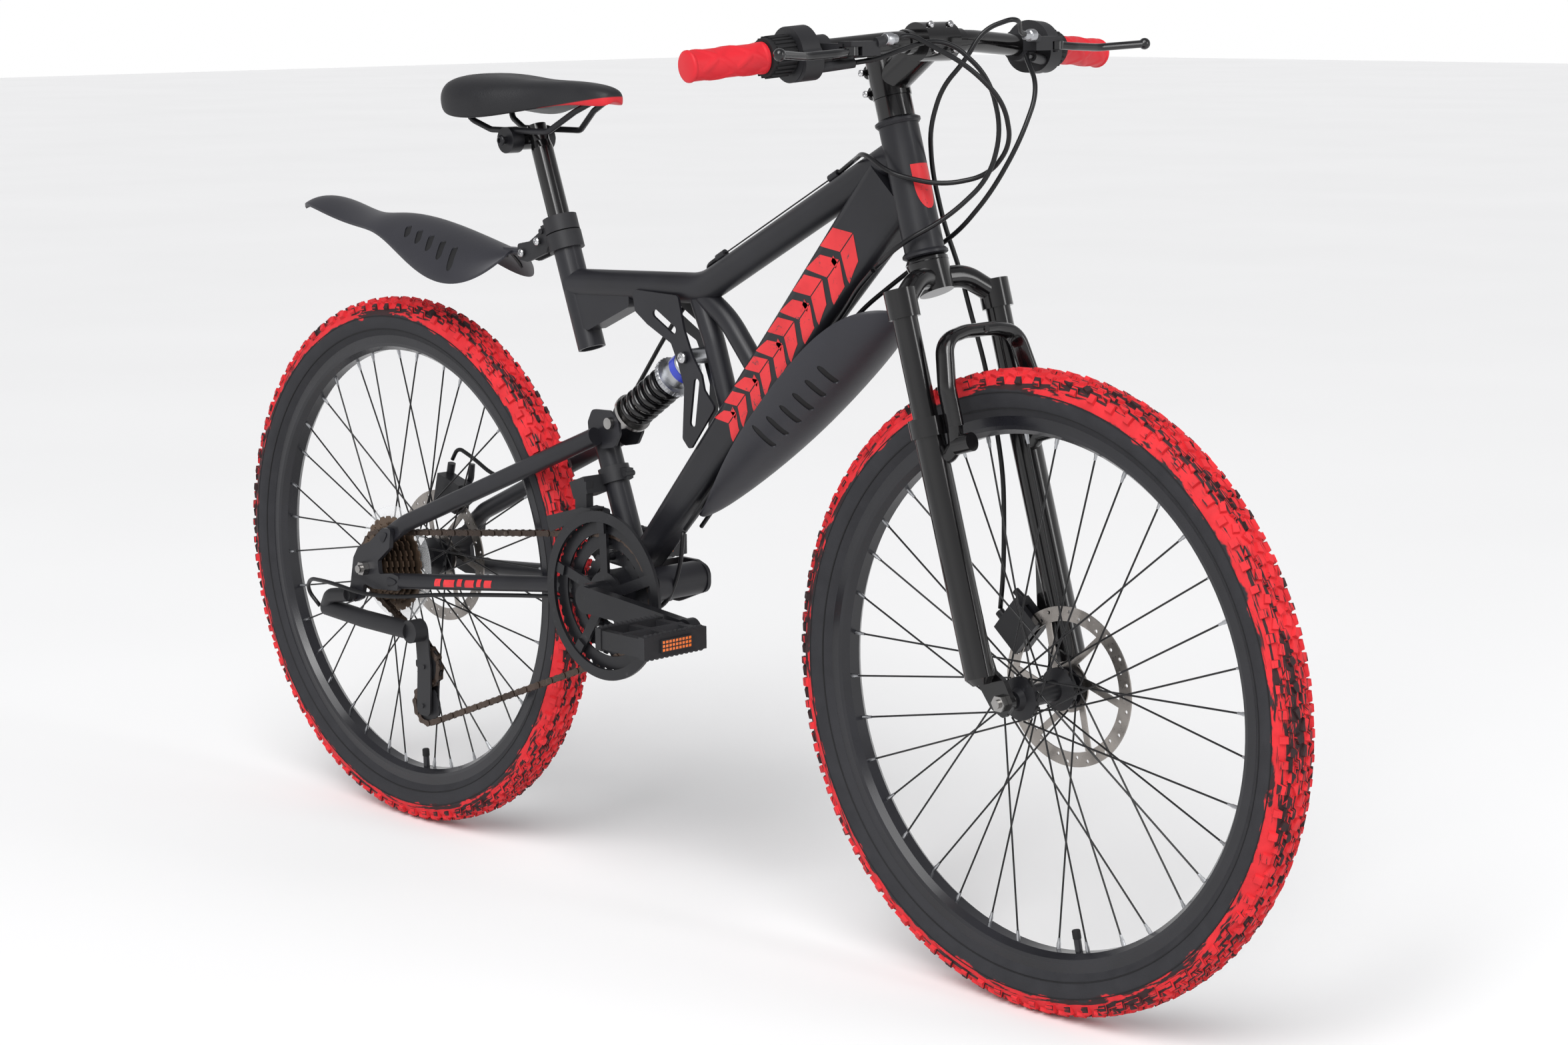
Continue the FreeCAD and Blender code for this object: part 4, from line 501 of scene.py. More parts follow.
def make_tyre(prefix, hub, body):
    tyre = Shape()
    profile = []
    for step in range(29):
        share = step / 28
        across, radius = spline(TYRE_HALF, abs(share - 0.5) * 2)
        profile.append((across * (1 if share > 0.5 else -1), radius))
    inside = [(13.0, 277.5), (17.5, 284), (21, 292), (21.5, 300), (17, 310), (0, 316.5)]
    profile += inside + [(-across, radius) for across, radius in reversed(inside[:-1])]
    count = 160
    rings = [[wheel_place(hub, radius, 2 * math.pi * step / count, across)
              for across, radius in profile] for step in range(count)]
    tyre.loft(rings, closed=True)

    rows = ((0.0, 6.2, 4.6, 0.35, 0.0), (-7.4, 5.2, 4.4, -0.5, 0.5), (7.4, 5.2, 4.4, 0.5, 0.5),
            (-14.2, 5.4, 4.0, 0.35, 0.0), (14.2, 5.4, 4.0, -0.35, 0.0),
            (-19.8, 4.4, 5.6, 0.0, 0.5), (19.8, 4.4, 5.6, 0.0, 0.5))
    pitches = 84
    for across, half_length, half_width, slant, offset in rows:
        low = tyre_radius_at(across - 1 if across > 0 else across + 1)
        lean = math.atan2(tyre_radius_at(abs(across) - 2) - tyre_radius_at(abs(across) + 2), 4)
        lean *= 1 if across > 0 else -1
        for number in range(pitches):
            turn = 2 * math.pi * (number + offset) / pitches
            outward = Vector((math.cos(turn), 0, math.sin(turn)))
            along = Vector((-math.sin(turn), 0, math.cos(turn)))
            normal = outward * math.cos(lean) + Y_AXIS * math.sin(lean)
            flat = along.cross(normal)
            forward = along * math.cos(slant) + flat * math.sin(slant)
            crosswise = forward.cross(normal)
            centre = wheel_place(hub, low, turn, across)
            size = 1.0 + 0.12 * math.sin(number * 2.1 + across)
            tyre.block(centre + normal * 1.0 * MM, forward * half_length * size * MM,
                       crosswise * half_width * MM * 0.86, normal * 1.9 * MM, taper=0.84)
    tyre.piece(prefix + "_knobbly_tyre", tyre_looks[prefix], "tyre_red", body,
               replaces=(prefix + "_tyre",), sharp=math.radians(38))

    ribs = Shape()
    for side in (-1, 1):
        for radius, across in ((287.5, 21.3), (303.5, 24.0)):
            ring = []
            for step in range(count):
                turn = 2 * math.pi * step / count
                ring.append([wheel_place(hub, radius + dr, turn, side * (across + dy))
                             for dr, dy in ((-0.8, -0.6), (-0.4, 0.25), (0.4, 0.25), (0.8, -0.6))])
            ribs.loft(ring, closed=True)
    ribs.piece(prefix + "_sidewall_ribs", "rubber_and_slot_shade_black", "tyre_red", body)


def make_nipples(prefix, hub, body):
    """Silver spoke nipples, one where each CAD spoke enters the rim."""
    spokes = frame["nodes"][prefix + "_spokes"].data
    parents = list(range(len(spokes.vertices)))

    def root(index):
        while parents[index] != index:
            parents[index] = parents[parents[index]]
            index = parents[index]
        return index

    for edge in spokes.edges:
        first, second = root(edge.vertices[0]), root(edge.vertices[1])
        parents[first] = second
    groups = {}
    keyed = {}
    for vertex in spokes.vertices:
        key = tuple(round(value, 5) for value in vertex.co)
        if key in keyed:
            parents[root(vertex.index)] = root(keyed[key])
        keyed[key] = vertex.index
    for vertex in spokes.vertices:
        groups.setdefault(root(vertex.index), []).append(vertex.co)
    nipples = Shape()
    for index in sorted(groups):
        cluster = groups[index]
        reach = [(Vector((point.x - hub.x, 0, point.z - hub.z)).length, point) for point in cluster]
        far, near = max(value for value, _ in reach), min(value for value, _ in reach)
        tips = [point for value, point in reach if value > far - 0.003]
        roots = [point for value, point in reach if value < near + 0.003]
        tip = sum(tips, Vector()) / len(tips)
        base = sum(roots, Vector()) / len(roots)
        inward = (base - tip).normalized()
        nipples.turned(tip - inward * 0.0012, inward,
                       ((0, 0.0022), (0.007, 0.0021), (0.0085, 0.0016), (0.0125, 0.00145)), count=8)
    nipples.piece(prefix + "_nipples", "silver", "bright_steel", body)


def make_valve_cap(prefix, hub, body, angle):
    turn = math.radians(angle)
    start = wheel_place(hub, 238, turn, 0)
    cap = Shape().turned(start, start - hub, ((0, 0.0034), (0.0012, 0.0044), (0.009, 0.0044),
                                              (0.0098, 0.0041)), count=20)
    cap.piece(prefix + "_valve_cap", "rubber_and_slot_shade_black", "black_plastic", body, bevel=0.0003)


for prefix, hub, body, valve_angle in (("front", FRONT_HUB, "front_wheel", -78),
                                       ("rear", REAR_HUB, "rear_wheel", -87)):
    make_tyre(prefix, hub, body)
    make_nipples(prefix, hub, body)
    make_valve_cap(prefix, hub, body, valve_angle)


# ------------------------------------------------------------------ chain

def chain_path():
    """Points a millimetre apart along the chain's arcs and straight runs, in the XZ plane."""
    def round_pitch(teeth):
        return CHAIN_PITCH / (2 * math.sin(math.pi / teeth))

    circles = [(CRANK, CHAINRING_RADIUS, 1),
               (joint_place("tension_pulley_spin"), round_pitch(11), 1),
               (joint_place("guide_pulley_spin"), round_pitch(11), -1),
               (REAR_HUB, round_pitch(20), 1)]
    runs = []
    for index, (centre, radius, sense) in enumerate(circles):
        other, other_radius, other_sense = circles[(index + 1) % len(circles)]
        gap = other - centre
        lean = math.asin((other_sense * other_radius - sense * radius)
                         / math.hypot(gap.x, gap.z))
        heading = math.atan2(gap.z, gap.x) + lean
        right = Vector((math.sin(heading), 0, -math.cos(heading)))
        runs.append((centre - right * sense * radius, other - right * other_sense * other_radius))
    line = []
    for index, (centre, radius, sense) in enumerate(circles):
        arrive, leave = runs[index - 1][1], runs[index][0]
        first = math.atan2(arrive.z - centre.z, arrive.x - centre.x)
        last = math.atan2(leave.z - centre.z, leave.x - centre.x)
        sweep = (last - first) % (2 * math.pi)
        if sense > 0:
            sweep -= 2 * math.pi
        steps = max(4, int(abs(sweep) * radius / 0.001))
        for step in range(steps):
            turn = first + sweep * step / steps
            line.append(Vector((centre.x + radius * math.cos(turn), 0,
                                centre.z + radius * math.sin(turn))))
        start, end = runs[index]
        steps = int((end - start).length / 0.001)
        line.extend(Vector((start.x, 0, start.z)).lerp(Vector((end.x, 0, end.z)), step / steps)
                    for step in range(steps))
    return line


def make_chain():
    line = chain_path()
    lengths = [0.0]
    for first, second in zip(line, line[1:] + line[:1]):
        lengths.append(lengths[-1] + (second - first).length)
    links = int(lengths[-1] / CHAIN_PITCH) // 2 * 2
    spots = []
    place = 0
    for number in range(links):
        wanted = lengths[-1] * number / links
        while lengths[place + 1] < wanted:
            place += 1
        share = (wanted - lengths[place]) / (lengths[place + 1] - lengths[place])
        spots.append(line[place].lerp(line[(place + 1) % len(line)], share))
    low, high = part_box("chain")
    plane = (low.y + high.y) / 2
    chain = Shape()
    for number, spot in enumerate(spots):
        following = spots[(number + 1) % links]
        ahead = (following - spot).normalized()
        up = Vector((-ahead.z, 0, ahead.x))
        outer = number % 2
        for side in (-1, 1):
            depth = plane + side * (0.0031 if outer else 0.0021)
            ring = []
            for end, away in ((following, 1), (spot, -1)):
                for step in range(7):
                    turn = math.radians(-75 + 25 * step)
                    ring.append(end + (ahead * away * math.cos(turn) + up * away * math.sin(turn))
                                * 0.0041)
            middle = (spot + following) / 2
            waist = [middle + up * 0.0029, middle - up * 0.0029]
            outline = ring[:7] + [waist[0]] + ring[7:] + [waist[1]]
            chain.loft([[Vector((point.x, depth - 0.00045, point.z)) for point in outline],
                        [Vector((point.x, depth + 0.00045, point.z)) for point in outline]],
                       caps=True)
        chain.turned(Vector((spot.x, plane - 0.0021, spot.z)), Y_AXIS,
                     ((0, 0.0036), (0.0042, 0.0036)), count=10)
        chain.turned(Vector((spot.x, plane - 0.0039, spot.z)), Y_AXIS,
                     ((0, 0.0015), (0.0003, 0.0018), (0.0075, 0.0018), (0.0078, 0.0015)), count=8)
    chain.piece("roller_chain", "chain_brown", "chain_brown", "swingarm", replaces=("chain",))


make_chain()


# ------------------------------------------------------------------ saddle

def saddle_look(tail, length):
    """Grained black cover; below a rising line the nose is red."""
    look, tree, shader = nodes_of("saddle_cover")
    parts = add(tree, "ShaderNodeSeparateXYZ")
    tree.links.new(add(tree, "ShaderNodeTexCoord").outputs["Object"], parts.inputs[0])
    rise = numbers(tree, "MULTIPLY_ADD", parts.outputs["X"], -0.035 / length,
                   -0.8665 + 0.035 * tail / length)
    under = ramp(tree, numbers(tree, "ADD", parts.outputs["Z"], rise), 0.0006, -0.0006)
    fore = ramp(tree, parts.outputs["X"], tail + 0.60 * length, tail + 0.63 * length)
    mask = numbers(tree, "MULTIPLY", under, fore)
    tone = ramp(tree, noise(tree, 22.0), 0.3, 0.7)
    black = mix_colours(tree, tone, (0.006, 0.006, 0.008), (0.011, 0.011, 0.013))
    red = mix_colours(tree, tone, (0.48, 0.008, 0.015), (0.58, 0.013, 0.022))
    tree.links.new(mix_colours(tree, mask, black, red), shader.inputs["Base Color"])
    tree.links.new(between(tree, tone, 0.44, 0.56), shader.inputs["Roughness"])
    shader.inputs["Specular IOR Level"].default_value = 0.38
    grain = add(tree, "ShaderNodeTexVoronoi", Scale=620.0)
    tree.links.new(add(tree, "ShaderNodeTexCoord").outputs["Object"], grain.inputs["Vector"])
    bump(tree, shader, grain.outputs["Distance"], 0.35, 0.0004)
    return look


def make_saddle():
    low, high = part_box("saddle_pad")
    length = high.x - low.x
    # share of the length from the tail, then in mm: half width, top, side depth, dip
    sections = ((0.0, 38, 915, 22, 1), (0.03, 54, 921, 36, 1), (0.09, 68, 925, 47, 1),
                (0.19, 73, 925.5, 51, 2), (0.32, 67, 923, 48, 3), (0.45, 52, 920, 40, 4),
                (0.58, 36, 919, 33, 3), (0.70, 27.5, 918.5, 28, 2), (0.82, 24, 917, 25, 1),
                (0.92, 21, 914, 23, 1), (0.975, 16, 910, 19, 1), (1.0, 9, 905, 11, 1))
    # half a cross-section: across as a share of the half width, down as a share of the depth
    outline = ((0.0, 0.0), (0.30, 0.02), (0.58, 0.07), (0.80, 0.17), (0.93, 0.32), (1.0, 0.52),
               (1.0, 0.74), (0.965, 0.92), (0.90, 1.0), (0.78, 0.97), (0.40, 0.86), (0.0, 0.82))
    rings = []
    for share, half, top, depth, dip in sections:
        x = low.x + length * share
        ring = []
        for across, down in outline:
            ring.append(Vector((x, across * half * MM, (top - down * depth) * MM)))
        for across, down in reversed(outline[1:-1]):
            ring.append(Vector((x, -across * half * MM, (top - down * depth) * MM)))
        ring[0].z -= dip * MM * 0.5
        rings.append(ring)
    pad = Shape().loft(rings, caps=True)
    cushion = pad.piece("saddle_cushion", saddle_look(low.x, length), "saddle_black", smooth=2,
                        sharp=math.radians(180))
    for modifier in list(cushion.modifiers):
        with bpy.context.temp_override(object=cushion, active_object=cushion,
                                       selected_objects=[cushion]):
            bpy.ops.object.modifier_apply(modifier=modifier.name)
    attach(cushion, "saddle")
    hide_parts("saddle_pad")


make_saddle()


# ------------------------------------------------------------------ bar and grips

def bar_axis(side):
    """The twist shifter's joint place on the bar, and the bar's outward direction there."""
    place, out = joint_place("twist_%s_turn" % side), joint_axis("twist_%s_turn" % side)
    return place, out if out.y * dict(SIDES)[side] > 0 else -out


def make_grips():
    for side, sign in SIDES:
        spot, out = bar_axis(side)
        scale = 1 / abs(out.y)
        start = spot + out * (9.4 * MM * scale)
        length = 86.5 * MM * scale
        helper = out.cross(Z_AXIS).normalized()
        other = out.cross(helper)
        rings = []
        for step in range(97):
            share = step / 96
            along = length * share
            ring = []
            for number in range(72):
                turn = 2 * math.pi * number / 72
                wave = math.sin(3 * turn + along / 0.0062 * sign)
                cross = math.sin(3 * turn - along / 0.0062 * sign)
                raised = 0.9 * max(0.0, min(1.0, max(wave, cross) * 2.2 - 1.1))
                fade = min(1.0, share / 0.06, (0.94 - share) / 0.04) if share < 0.94 else 0.0
                radius = 14.5 + raised * max(0.0, fade)
                if share < 0.045:
                    radius = 15.4
                if share > 0.955:
                    radius = 15.4 - 3.2 * max(0.0, (share - 0.975) / 0.025) ** 2
                outward = helper * math.cos(turn) + other * math.sin(turn)
                ring.append(start + out * along + outward * radius * MM)
            rings.append(ring)
        grip = Shape().loft(rings, caps=True)
        grip.piece("grip_sleeve_" + side, "grip_red", "grip_red", "steering",
                   replaces=("grips",), sharp=math.radians(50))


make_grips()


# ------------------------------------------------------------------ fenders

def opened(name, node, slots, operation, look, body):
    """A copy of a CAD mesh less the slot tools, or only what lies inside them."""
    item = new_object(name, frame["nodes"][node].data.copy())
    cutter_mesh = bpy.data.meshes.new(name + "_openings")
    cutter_mesh.from_pydata([tuple(point) for point in slots.points], [], slots.faces)
    for mesh in (item.data, cutter_mesh):
        build = bmesh.new()
        build.from_mesh(mesh)
        bmesh.ops.remove_doubles(build, verts=build.verts, dist=1e-6)
        bmesh.ops.recalc_face_normals(build, faces=build.faces)
        build.to_mesh(mesh)
        build.free()
    cutter = new_object(name + "_openings", cutter_mesh)
    modifier = item.modifiers.new("openings", "BOOLEAN")
    modifier.operation = operation
    modifier.solver = "EXACT"
    modifier.object = cutter
    item.data = bpy.data.meshes.new_from_object(
        item.evaluated_get(bpy.context.evaluated_depsgraph_get()))
    item.modifiers.clear()
    bpy.data.objects.remove(cutter)
    dress(item, LOOKS[look])
    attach(item, body)
    return item


def recessed(name, node, slots, body, inward):
    """A mudguard with slots sunk into it: an opened shell, and floors set deeper, coloured a darker
    black than the shell as painted shade in the slots.
    """
    shell = opened(name, node, slots, "DIFFERENCE", "fender_plastic", body)
    # the slot floors take the darker rubber black instead of the mudguard plastic: painted shade in
    # the slots
    floors = opened(name + "_slot_floors", node, slots, "INTERSECT", "rubber_and_slot_shade_black", body)
    floors.data.transform(Matrix.Translation(inward))
    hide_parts(node)


def slanted_slot(shape, centre, ahead, side, up, slant):
    """A rounded slot tool; its long way turns from the side towards the ahead direction."""
    long_way = side * math.cos(slant) + ahead * math.sin(slant)
    short_way = long_way.cross(up).normalized() * ahead.length
    long_way = long_way.normalized() * side.length
    outline = []
    for end in (1, -1):
        for step in range(7):
            turn = math.radians(-90 + 30 * step)
            outline.append(long_way * end + (long_way.normalized() * short_way.length
                                             * math.cos(turn) + short_way * math.sin(turn)) * end)
    shape.loft([[centre + point - up for point in outline],
                [centre + point + up for point in outline]], caps=True)


def make_fenders():
    rear = Shape()
    for sign in (-1, 1):
        for number in range(5):
            centre = Vector((-0.458 + 0.0235 * number, sign * (0.037 + 0.0018 * number), 0.735))
            slanted_slot(rear, centre, X_AXIS * 0.0040, Y_AXIS * sign * (0.005 + 0.0008 * number),
                         Z_AXIS * 0.05, 0.85)
    recessed("rear_mudguard", "rear_fender", rear, "rear_fender", -Z_AXIS * 0.0016)

    low, high = Vector((0.020, 0, 0.447)), Vector((0.328, 0, 0.690))
    ahead = (high - low).normalized()
    up = Vector((-ahead.z, 0, ahead.x))
    shield = Shape()
    for sign in (-1, 1):
        for number in range(6):
            spot = low.lerp(high, 0.44 + 0.062 * number)
            centre = spot + Y_AXIS * sign * 0.036
            slanted_slot(shield, centre, ahead * 0.0034, Y_AXIS * sign * 0.0075, up * 0.04, 0.5)
    recessed("tube_mudguard", "down_tube_fender", shield, "frame", up * 0.0014)


make_fenders()


# ------------------------------------------------------------------ small round hardware

def button_bolt(shape, spot, axis, radius, height=0.0032):
    """A domed screw head with a six-sided socket."""
    shape.turned(spot, axis, ((0, radius), (height * 0.45, radius * 0.97),
                              (height * 0.8, radius * 0.78), (height, radius * 0.52),
                              (height * 0.98, radius * 0.46), (height * 0.3, radius * 0.42)),
                 count=24)


def make_bolts():
    low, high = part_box("shock_mount")
    fixed = Shape()
    for side, edge in ((-1, low.y), (1, high.y)):
        button_bolt(fixed, Vector((SHOCK_TOP.x, edge, SHOCK_TOP.z)), Y_AXIS * side, 0.0062)
    fixed.piece("shock_top_bolts", "chrome", "bright_steel", "frame")

    face = Shape()
    for across in (-14, 14):
        for up in (-13, 13):
            button_bolt(face, steer(203.5 + up, 67.8 + 17, across), STEER_AHEAD, 0.0036, 0.002)
    button_bolt(face, steer(212.2), STEER_UP, 0.005, 0.002)
    for up in (174, 196):
        for side in (-1, 1):
            button_bolt(face, steer(up, -20, 17 * side), Y_AXIS * side, 0.0036, 0.002)
    face.piece("stem_bolts", "chrome", "bright_steel", "steering")

    clamp = Shape()
    for side in (-1, 1):
        button_bolt(clamp, Vector((SADDLE_PIVOT.x, side * 0.037, SADDLE_PIVOT.z)), Y_AXIS * side,
                    0.0062)
    clamp.piece("saddle_clamp_bolts", "steel_black", "steel_black", "saddle")

    hinge = joint_place("fender_tilt")
    fender = Shape()
    for side in (-1, 1):
        button_bolt(fender, Vector((hinge.x, side * 0.013, hinge.z)), Y_AXIS * side, 0.0048)
        button_bolt(fender, Vector((-0.244, side * 0.014, 0.735)), Y_AXIS * side, 0.0048)
    fender.piece("fender_bolts", "chrome", "bright_steel", "frame")


make_bolts()


def make_shock_details():
    band = Shape().turned(SHOCK_TOP - SHOCK_UP * 0.0225, -SHOCK_UP,
                          ((0, 0.0168), (0.0002, 0.0176), (0.0095, 0.0178), (0.0097, 0.0170)),
                          count=48, cap=False)
    band.piece("shock_blue_band", "blue_band", "silver", "shock")
    knurls = Shape()
    first = SHOCK_UP.cross(Y_AXIS).normalized()
    for number in range(28):
        turn = 2 * math.pi * number / 28
        out = first * math.cos(turn) + Y_AXIS * math.sin(turn)
        knurls.block(SHOCK_TOP - SHOCK_UP * 0.0487 + out * 0.0232, out.cross(SHOCK_UP) * 0.0014,
                     SHOCK_UP * 0.0034, out * 0.0008, taper=0.7)
    knurls.piece("shock_collar_knurls", "silver", "silver", "shock")

    coil = frame["nodes"]["shock_spring"]
    spring = new_object("coil_spring", coil.data.copy())
    spring.data.materials.clear()
    spring.data.materials.append(LOOKS["gloss_black"])
    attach(spring, "shock_rod")
    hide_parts("shock_spring")
    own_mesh(spring)


make_shock_details()


# ------------------------------------------------------------------ cables

def cable_piece(name, node, keep):
    """A copy of a CAD cable, cut into short rings."""
    item = new_object(name, frame["nodes"][node].data.copy())
    build = bmesh.new()
    build.from_mesh(item.data)
    bmesh.ops.remove_doubles(build, verts=build.verts, dist=1e-6)
    unwanted = [vertex for vertex in build.verts if not keep(vertex.co)]
    bmesh.ops.delete(build, geom=unwanted, context="VERTS")
    low = Vector([min(vertex.co[axis] for vertex in build.verts) for axis in range(3)])
    high = Vector([max(vertex.co[axis] for vertex in build.verts) for axis in range(3)])
    for axis, normal in ((0, X_AXIS), (2, Z_AXIS)):
        place = low[axis] + 0.012
        while place < high[axis]:
            bmesh.ops.bisect_plane(build, geom=build.verts[:] + build.edges[:] + build.faces[:],
                                   plane_co=normal * place, plane_no=normal, dist=1e-6)
            place += 0.012
    build.to_mesh(item.data)
    build.free()
    item.data.materials.clear()
    item.data.materials.append(LOOKS["cable_black"])
    for polygon in item.data.polygons:
        polygon.use_smooth = True
    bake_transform(item)
    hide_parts(node)


cable_piece("steering_cables", "control_cables", lambda co: True)
cable_piece("front_hose", "front_brake_hose", lambda co: True)
cable_piece("rear_brake_cable", "swing_cables", lambda co: co.y > -0.005)
cable_piece("rear_gear_cable", "swing_cables", lambda co: co.y < -0.005)


def make_adjusters():
    """Barrel adjusters where the cables enter the shifters."""
    knobs = Shape()
    for side, sign in SIDES:
        spot, out = bar_axis(side)
        # the shifter's joint is 200 mm out on the bar and the adjuster 98 mm out
        base = spot + out * ((98 - 200) * MM / abs(out.y)) + Vector((0.047, 0, 0.008))
        inward = Vector((0.0, -sign, 0.0))
        knobs.turned(base - inward * 0.010, inward,
                     ((0, 0.0052), (0.002, 0.0062), (0.009, 0.0062), (0.0105, 0.0048),
                      (0.016, 0.0042), (0.0165, 0.0032)), count=14)
    knobs.piece("barrel_adjusters", "silver", "bright_steel", "steering", bevel=0.0003)


make_adjusters()


# ------------------------------------------------------------------ paint marks

DOWN_TUBE_LOW = Vector((-0.047, 0, 0.418))
DOWN_TUBE_HIGH = Vector((0.313, 0, 0.814))
DOWN_TUBE_RUN = (DOWN_TUBE_HIGH - DOWN_TUBE_LOW).normalized()
DOWN_TUBE_UP = Vector((-DOWN_TUBE_RUN.z, 0, DOWN_TUBE_RUN.x))
DOWN_TUBE_LENGTH = (DOWN_TUBE_HIGH - DOWN_TUBE_LOW).length
PAINT_PROUD = 0.00025


def down_tube_place(along, across, sign):
    """A point just off the tube's side face, from millimetres along it and up from its middle."""
    half = 17 + 20 * along * MM / DOWN_TUBE_LENGTH
    past = max(0.0, abs(across) - (half - 11))
    depth = 18 - 11 + math.sqrt(max(0.0, 11 ** 2 - min(past, 10.6) ** 2))
    return (DOWN_TUBE_LOW + DOWN_TUBE_RUN * along * MM + DOWN_TUBE_UP * across * MM
            + Y_AXIS * sign * (depth * MM + PAINT_PROUD))


def painted_quad(shape, corners, place, sign, steps=8):
    """A four-cornered mark laid on a surface; its corners are (along, across) pairs."""
    a, b, c, d = corners
    rows = []
    for row in range(steps + 1):
        v = row / steps
        left = (a[0] + (d[0] - a[0]) * v, a[1] + (d[1] - a[1]) * v)
        right = (b[0] + (c[0] - b[0]) * v, b[1] + (c[1] - b[1]) * v)
        rows.append([place(left[0] + (right[0] - left[0]) * u / steps,
                           left[1] + (right[1] - left[1]) * u / steps, sign)
                     for u in range(steps + 1)])
    shape.strip(rows)


def make_down_tube_marks():
    """A row of broken red chevrons and shards along both faces of the down tube."""
    for side, sign in SIDES:
        marks = Shape()
        along = 178.0
        number = 0
        while along < 452:
            tall = 12 + 20 * along * MM / DOWN_TUBE_LENGTH
            width = 17.5 + 1.1 * number
            push = 11 + 0.5 * number
            middle = tall * (0.06 if number % 2 else -0.10)
            gap = 0.7
            low_nick, high_nick = (5.5, 1.5) if number % 2 else (1.0, 6.0)
            painted_quad(marks, ((along, -tall), (along + width, -tall + low_nick),
                                 (along + width + push, middle - gap),
                                 (along + push, middle - gap)), down_tube_place, sign)
            painted_quad(marks, ((along + push, middle + gap),
                                 (along + width + push, middle + gap),
                                 (along + width - 1, tall - high_nick), (along - 2, tall)),
                         down_tube_place, sign)
            if number % 2:
                painted_quad(marks, ((along - 1.5, middle - 7), (along + 4.5, middle - 4),
                                     (along + 5.5, middle + 5), (along - 1, middle + 3)),
                             down_tube_place, sign)
            along += width + 6.5
            number += 1
        marks.piece("down_tube_marks_" + side, "decal_red", "satin_black", "frame")


make_down_tube_marks()


def make_head_badge():
    """A plain shield on the front of the head tube."""
    badge = Shape()
    rows = []
    for row in range(25):
        share = row / 24
        up = 92 - 46 * share
        half = 27 if share < 0.45 else 27 * math.sqrt(max(0.02, 1 - ((share - 0.45) / 0.56) ** 2))
        line = []
        for column in range(15):
            turn = math.radians(-4 + half * (column / 7 - 1) * 1.25)
            radius = 20.5 + 0.35
            line.append(steer(up, radius * math.cos(turn), radius * math.sin(turn)))
        rows.append(line)
    badge.strip(rows)
    badge.piece("head_badge", "decal_red", "satin_black", "frame")


make_head_badge()


def make_stay_marks():
    """Small red bars on the right chainstay."""
    front, rear = Vector((-0.185, -0.032, 0.345)), Vector((-0.470, -0.067, 0.315))
    run = (rear - front).normalized()
    out = (-Y_AXIS - run * run.dot(-Y_AXIS)).normalized()
    over = out.cross(run).normalized()
    if over.z < 0:
        over = -over

    def stay_place(along, turn, _):
        angle = math.radians(turn)
        return front + run * along * MM + (out * math.cos(angle) + over * math.sin(angle)) * 0.00978

    marks = Shape()
    for number, (start, width) in enumerate(((112, 12), (129, 7), (141, 15), (161, 8), (174, 18),
                                             (197, 10))):
        low, high = (-24, 30) if number % 2 else (-30, 24)
        painted_quad(marks, ((start, low), (start + width, low), (start + width - 3, high),
                             (start - 3, high)), stay_place, -1, steps=4)
    marks.piece("stay_marks", "decal_red", "satin_black", "swingarm")


make_stay_marks()


# ------------------------------------------------------------------ pedals

def make_reflectors():
    for side, body in (("right", "pedal_r"), ("left", "pedal_l")):
        low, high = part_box("pedal_" + side)
        middle = (low + high) / 2
        lenses = Shape()
        for face, edge in ((-1, low.x), (1, high.x)):
            for column in range(9):
                for row in range(3):
                    spot = Vector((edge - face * 0.0001, middle.y + (column - 4) * 0.0046,
                                   middle.z + (row - 1) * 0.0042))
                    lenses.block(spot, Y_AXIS * 0.0022, Z_AXIS * 0.0020,
                                 X_AXIS * face * 0.0005, taper=0.55)
        lenses.piece("pedal_reflectors_" + side, "reflector", "black_plastic", body)
        teeth = Shape()
        for edge in (low.x + 0.006, high.x - 0.006):
            for step in range(12):
                y = low.y + 0.006 + (high.y - low.y - 0.012) * step / 11
                for up in (-1, 1):
                    teeth.block(Vector((edge, y, middle.z + up * 0.0128)), X_AXIS * 0.0034,
                                Y_AXIS * 0.0022, Z_AXIS * up * 0.0012, taper=0.5)
        teeth.piece("pedal_teeth_" + side, "black_plastic", "black_plastic", body)


make_reflectors()


# ------------------------------------------------------------------ stage, light and camera

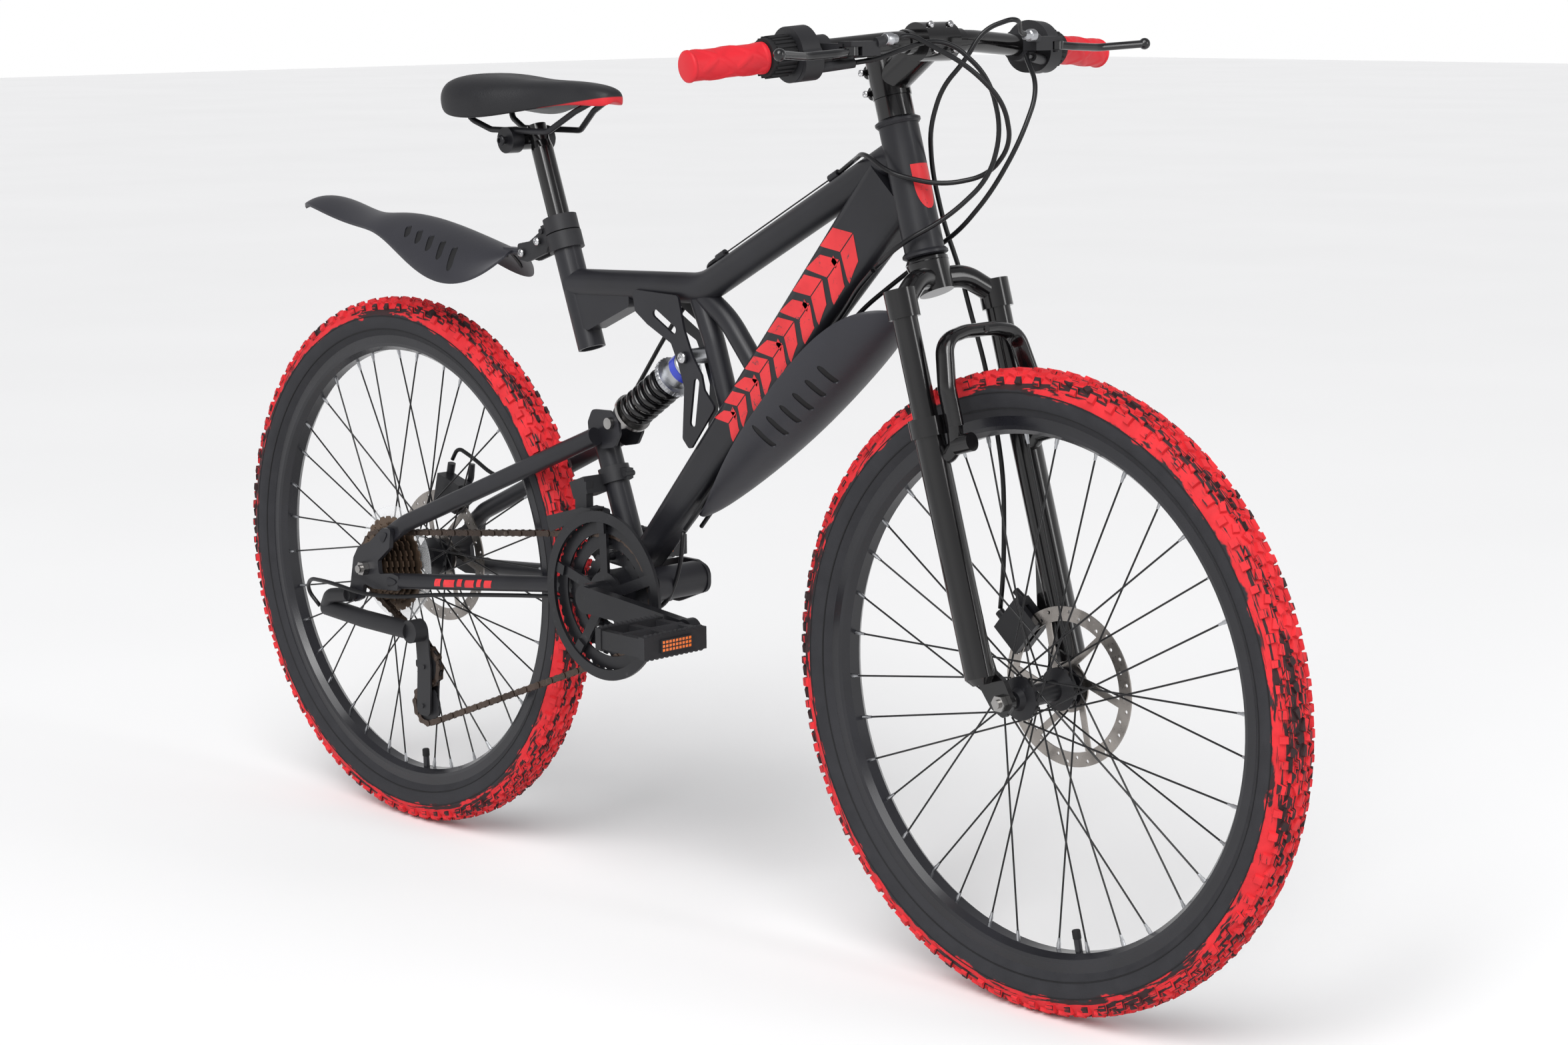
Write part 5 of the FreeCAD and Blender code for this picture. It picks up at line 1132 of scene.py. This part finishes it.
def make_stage():
    mesh = bpy.data.meshes.new("floor")
    size = 30.0
    mesh.from_pydata([(-size, -size, 0), (size, -size, 0), (size, size, 0), (-size, size, 0)],
                     [], [(0, 1, 2, 3)])
    floor = new_object("floor", mesh)
    look, tree, shader = nodes_of("floor_white")
    tone = ramp(tree, noise(tree, 0.8, detail=2.0), 0.3, 0.7)
    tree.links.new(mix_colours(tree, tone, (0.86, 0.86, 0.86), (0.88, 0.88, 0.88)),
                   shader.inputs["Base Color"])
    shader.inputs["Roughness"].default_value = 0.9
    shader.inputs["Specular IOR Level"].default_value = 0.1
    mesh.materials.append(look)


def area_light(name, place, target, size, power):
    data = bpy.data.lights.new(name, "AREA")
    data.shape = "RECTANGLE"
    data.size, data.size_y = size
    data.energy = power
    lamp = new_object(name, data)
    lamp.location = place
    lamp.rotation_euler = (Vector(target) - Vector(place)).to_track_quat("-Z", "Y").to_euler()


def make_light():
    world = bpy.data.worlds.new("studio")
    bpy.context.scene.world = world
    world.use_nodes = True
    tree = world.node_tree
    parts = add(tree, "ShaderNodeSeparateXYZ")
    tree.links.new(add(tree, "ShaderNodeTexCoord").outputs["Generated"], parts.inputs[0])
    height = ramp(tree, parts.outputs["Z"], 0.10, 0.45)
    tree.links.new(mix_colours(tree, height, (1.0, 1.0, 1.0), (0.42, 0.42, 0.43)),
                   tree.nodes["Background"].inputs["Color"])
    tree.nodes["Background"].inputs["Strength"].default_value = 1.0
    data = bpy.data.lights.new("sky_panel", "SUN")
    data.energy = 2.15
    data.angle = math.radians(50)
    lamp = new_object("sky_panel", data)
    lamp.rotation_euler = (-Vector((0.45, -0.75, 1.0))).to_track_quat("-Z", "Y").to_euler()
    middle = (0, 0, 0.5)
    area_light("key", (1.4, -3.0, 3.0), middle, (0.8, 2.4), 42)
    area_light("side", (3.6, 0.9, 1.8), middle, (0.7, 2.4), 26)


def make_camera():
    azimuth, elevation, roll = (math.radians(value) for value in (46.3586, 10.0564, 0.46489))
    data = bpy.data.cameras.new("camera")
    data.sensor_width = 36
    data.lens = 69.8586
    camera = new_object("camera", data)
    back = Vector((math.sin(azimuth) * math.cos(elevation),
                   -math.cos(azimuth) * math.cos(elevation), math.sin(elevation)))
    turn = back.to_track_quat("Z", "Y").to_matrix().to_4x4()
    place = Vector((0.147869, 0, 0.454044)) + back * 3.266245
    camera.matrix_world = Matrix.Translation(place) @ turn @ Matrix.Rotation(-roll, 4, "Z")
    bpy.context.scene.camera = camera


make_stage()
make_light()
make_camera()
bpy.context.scene.view_settings.view_transform = "Standard"
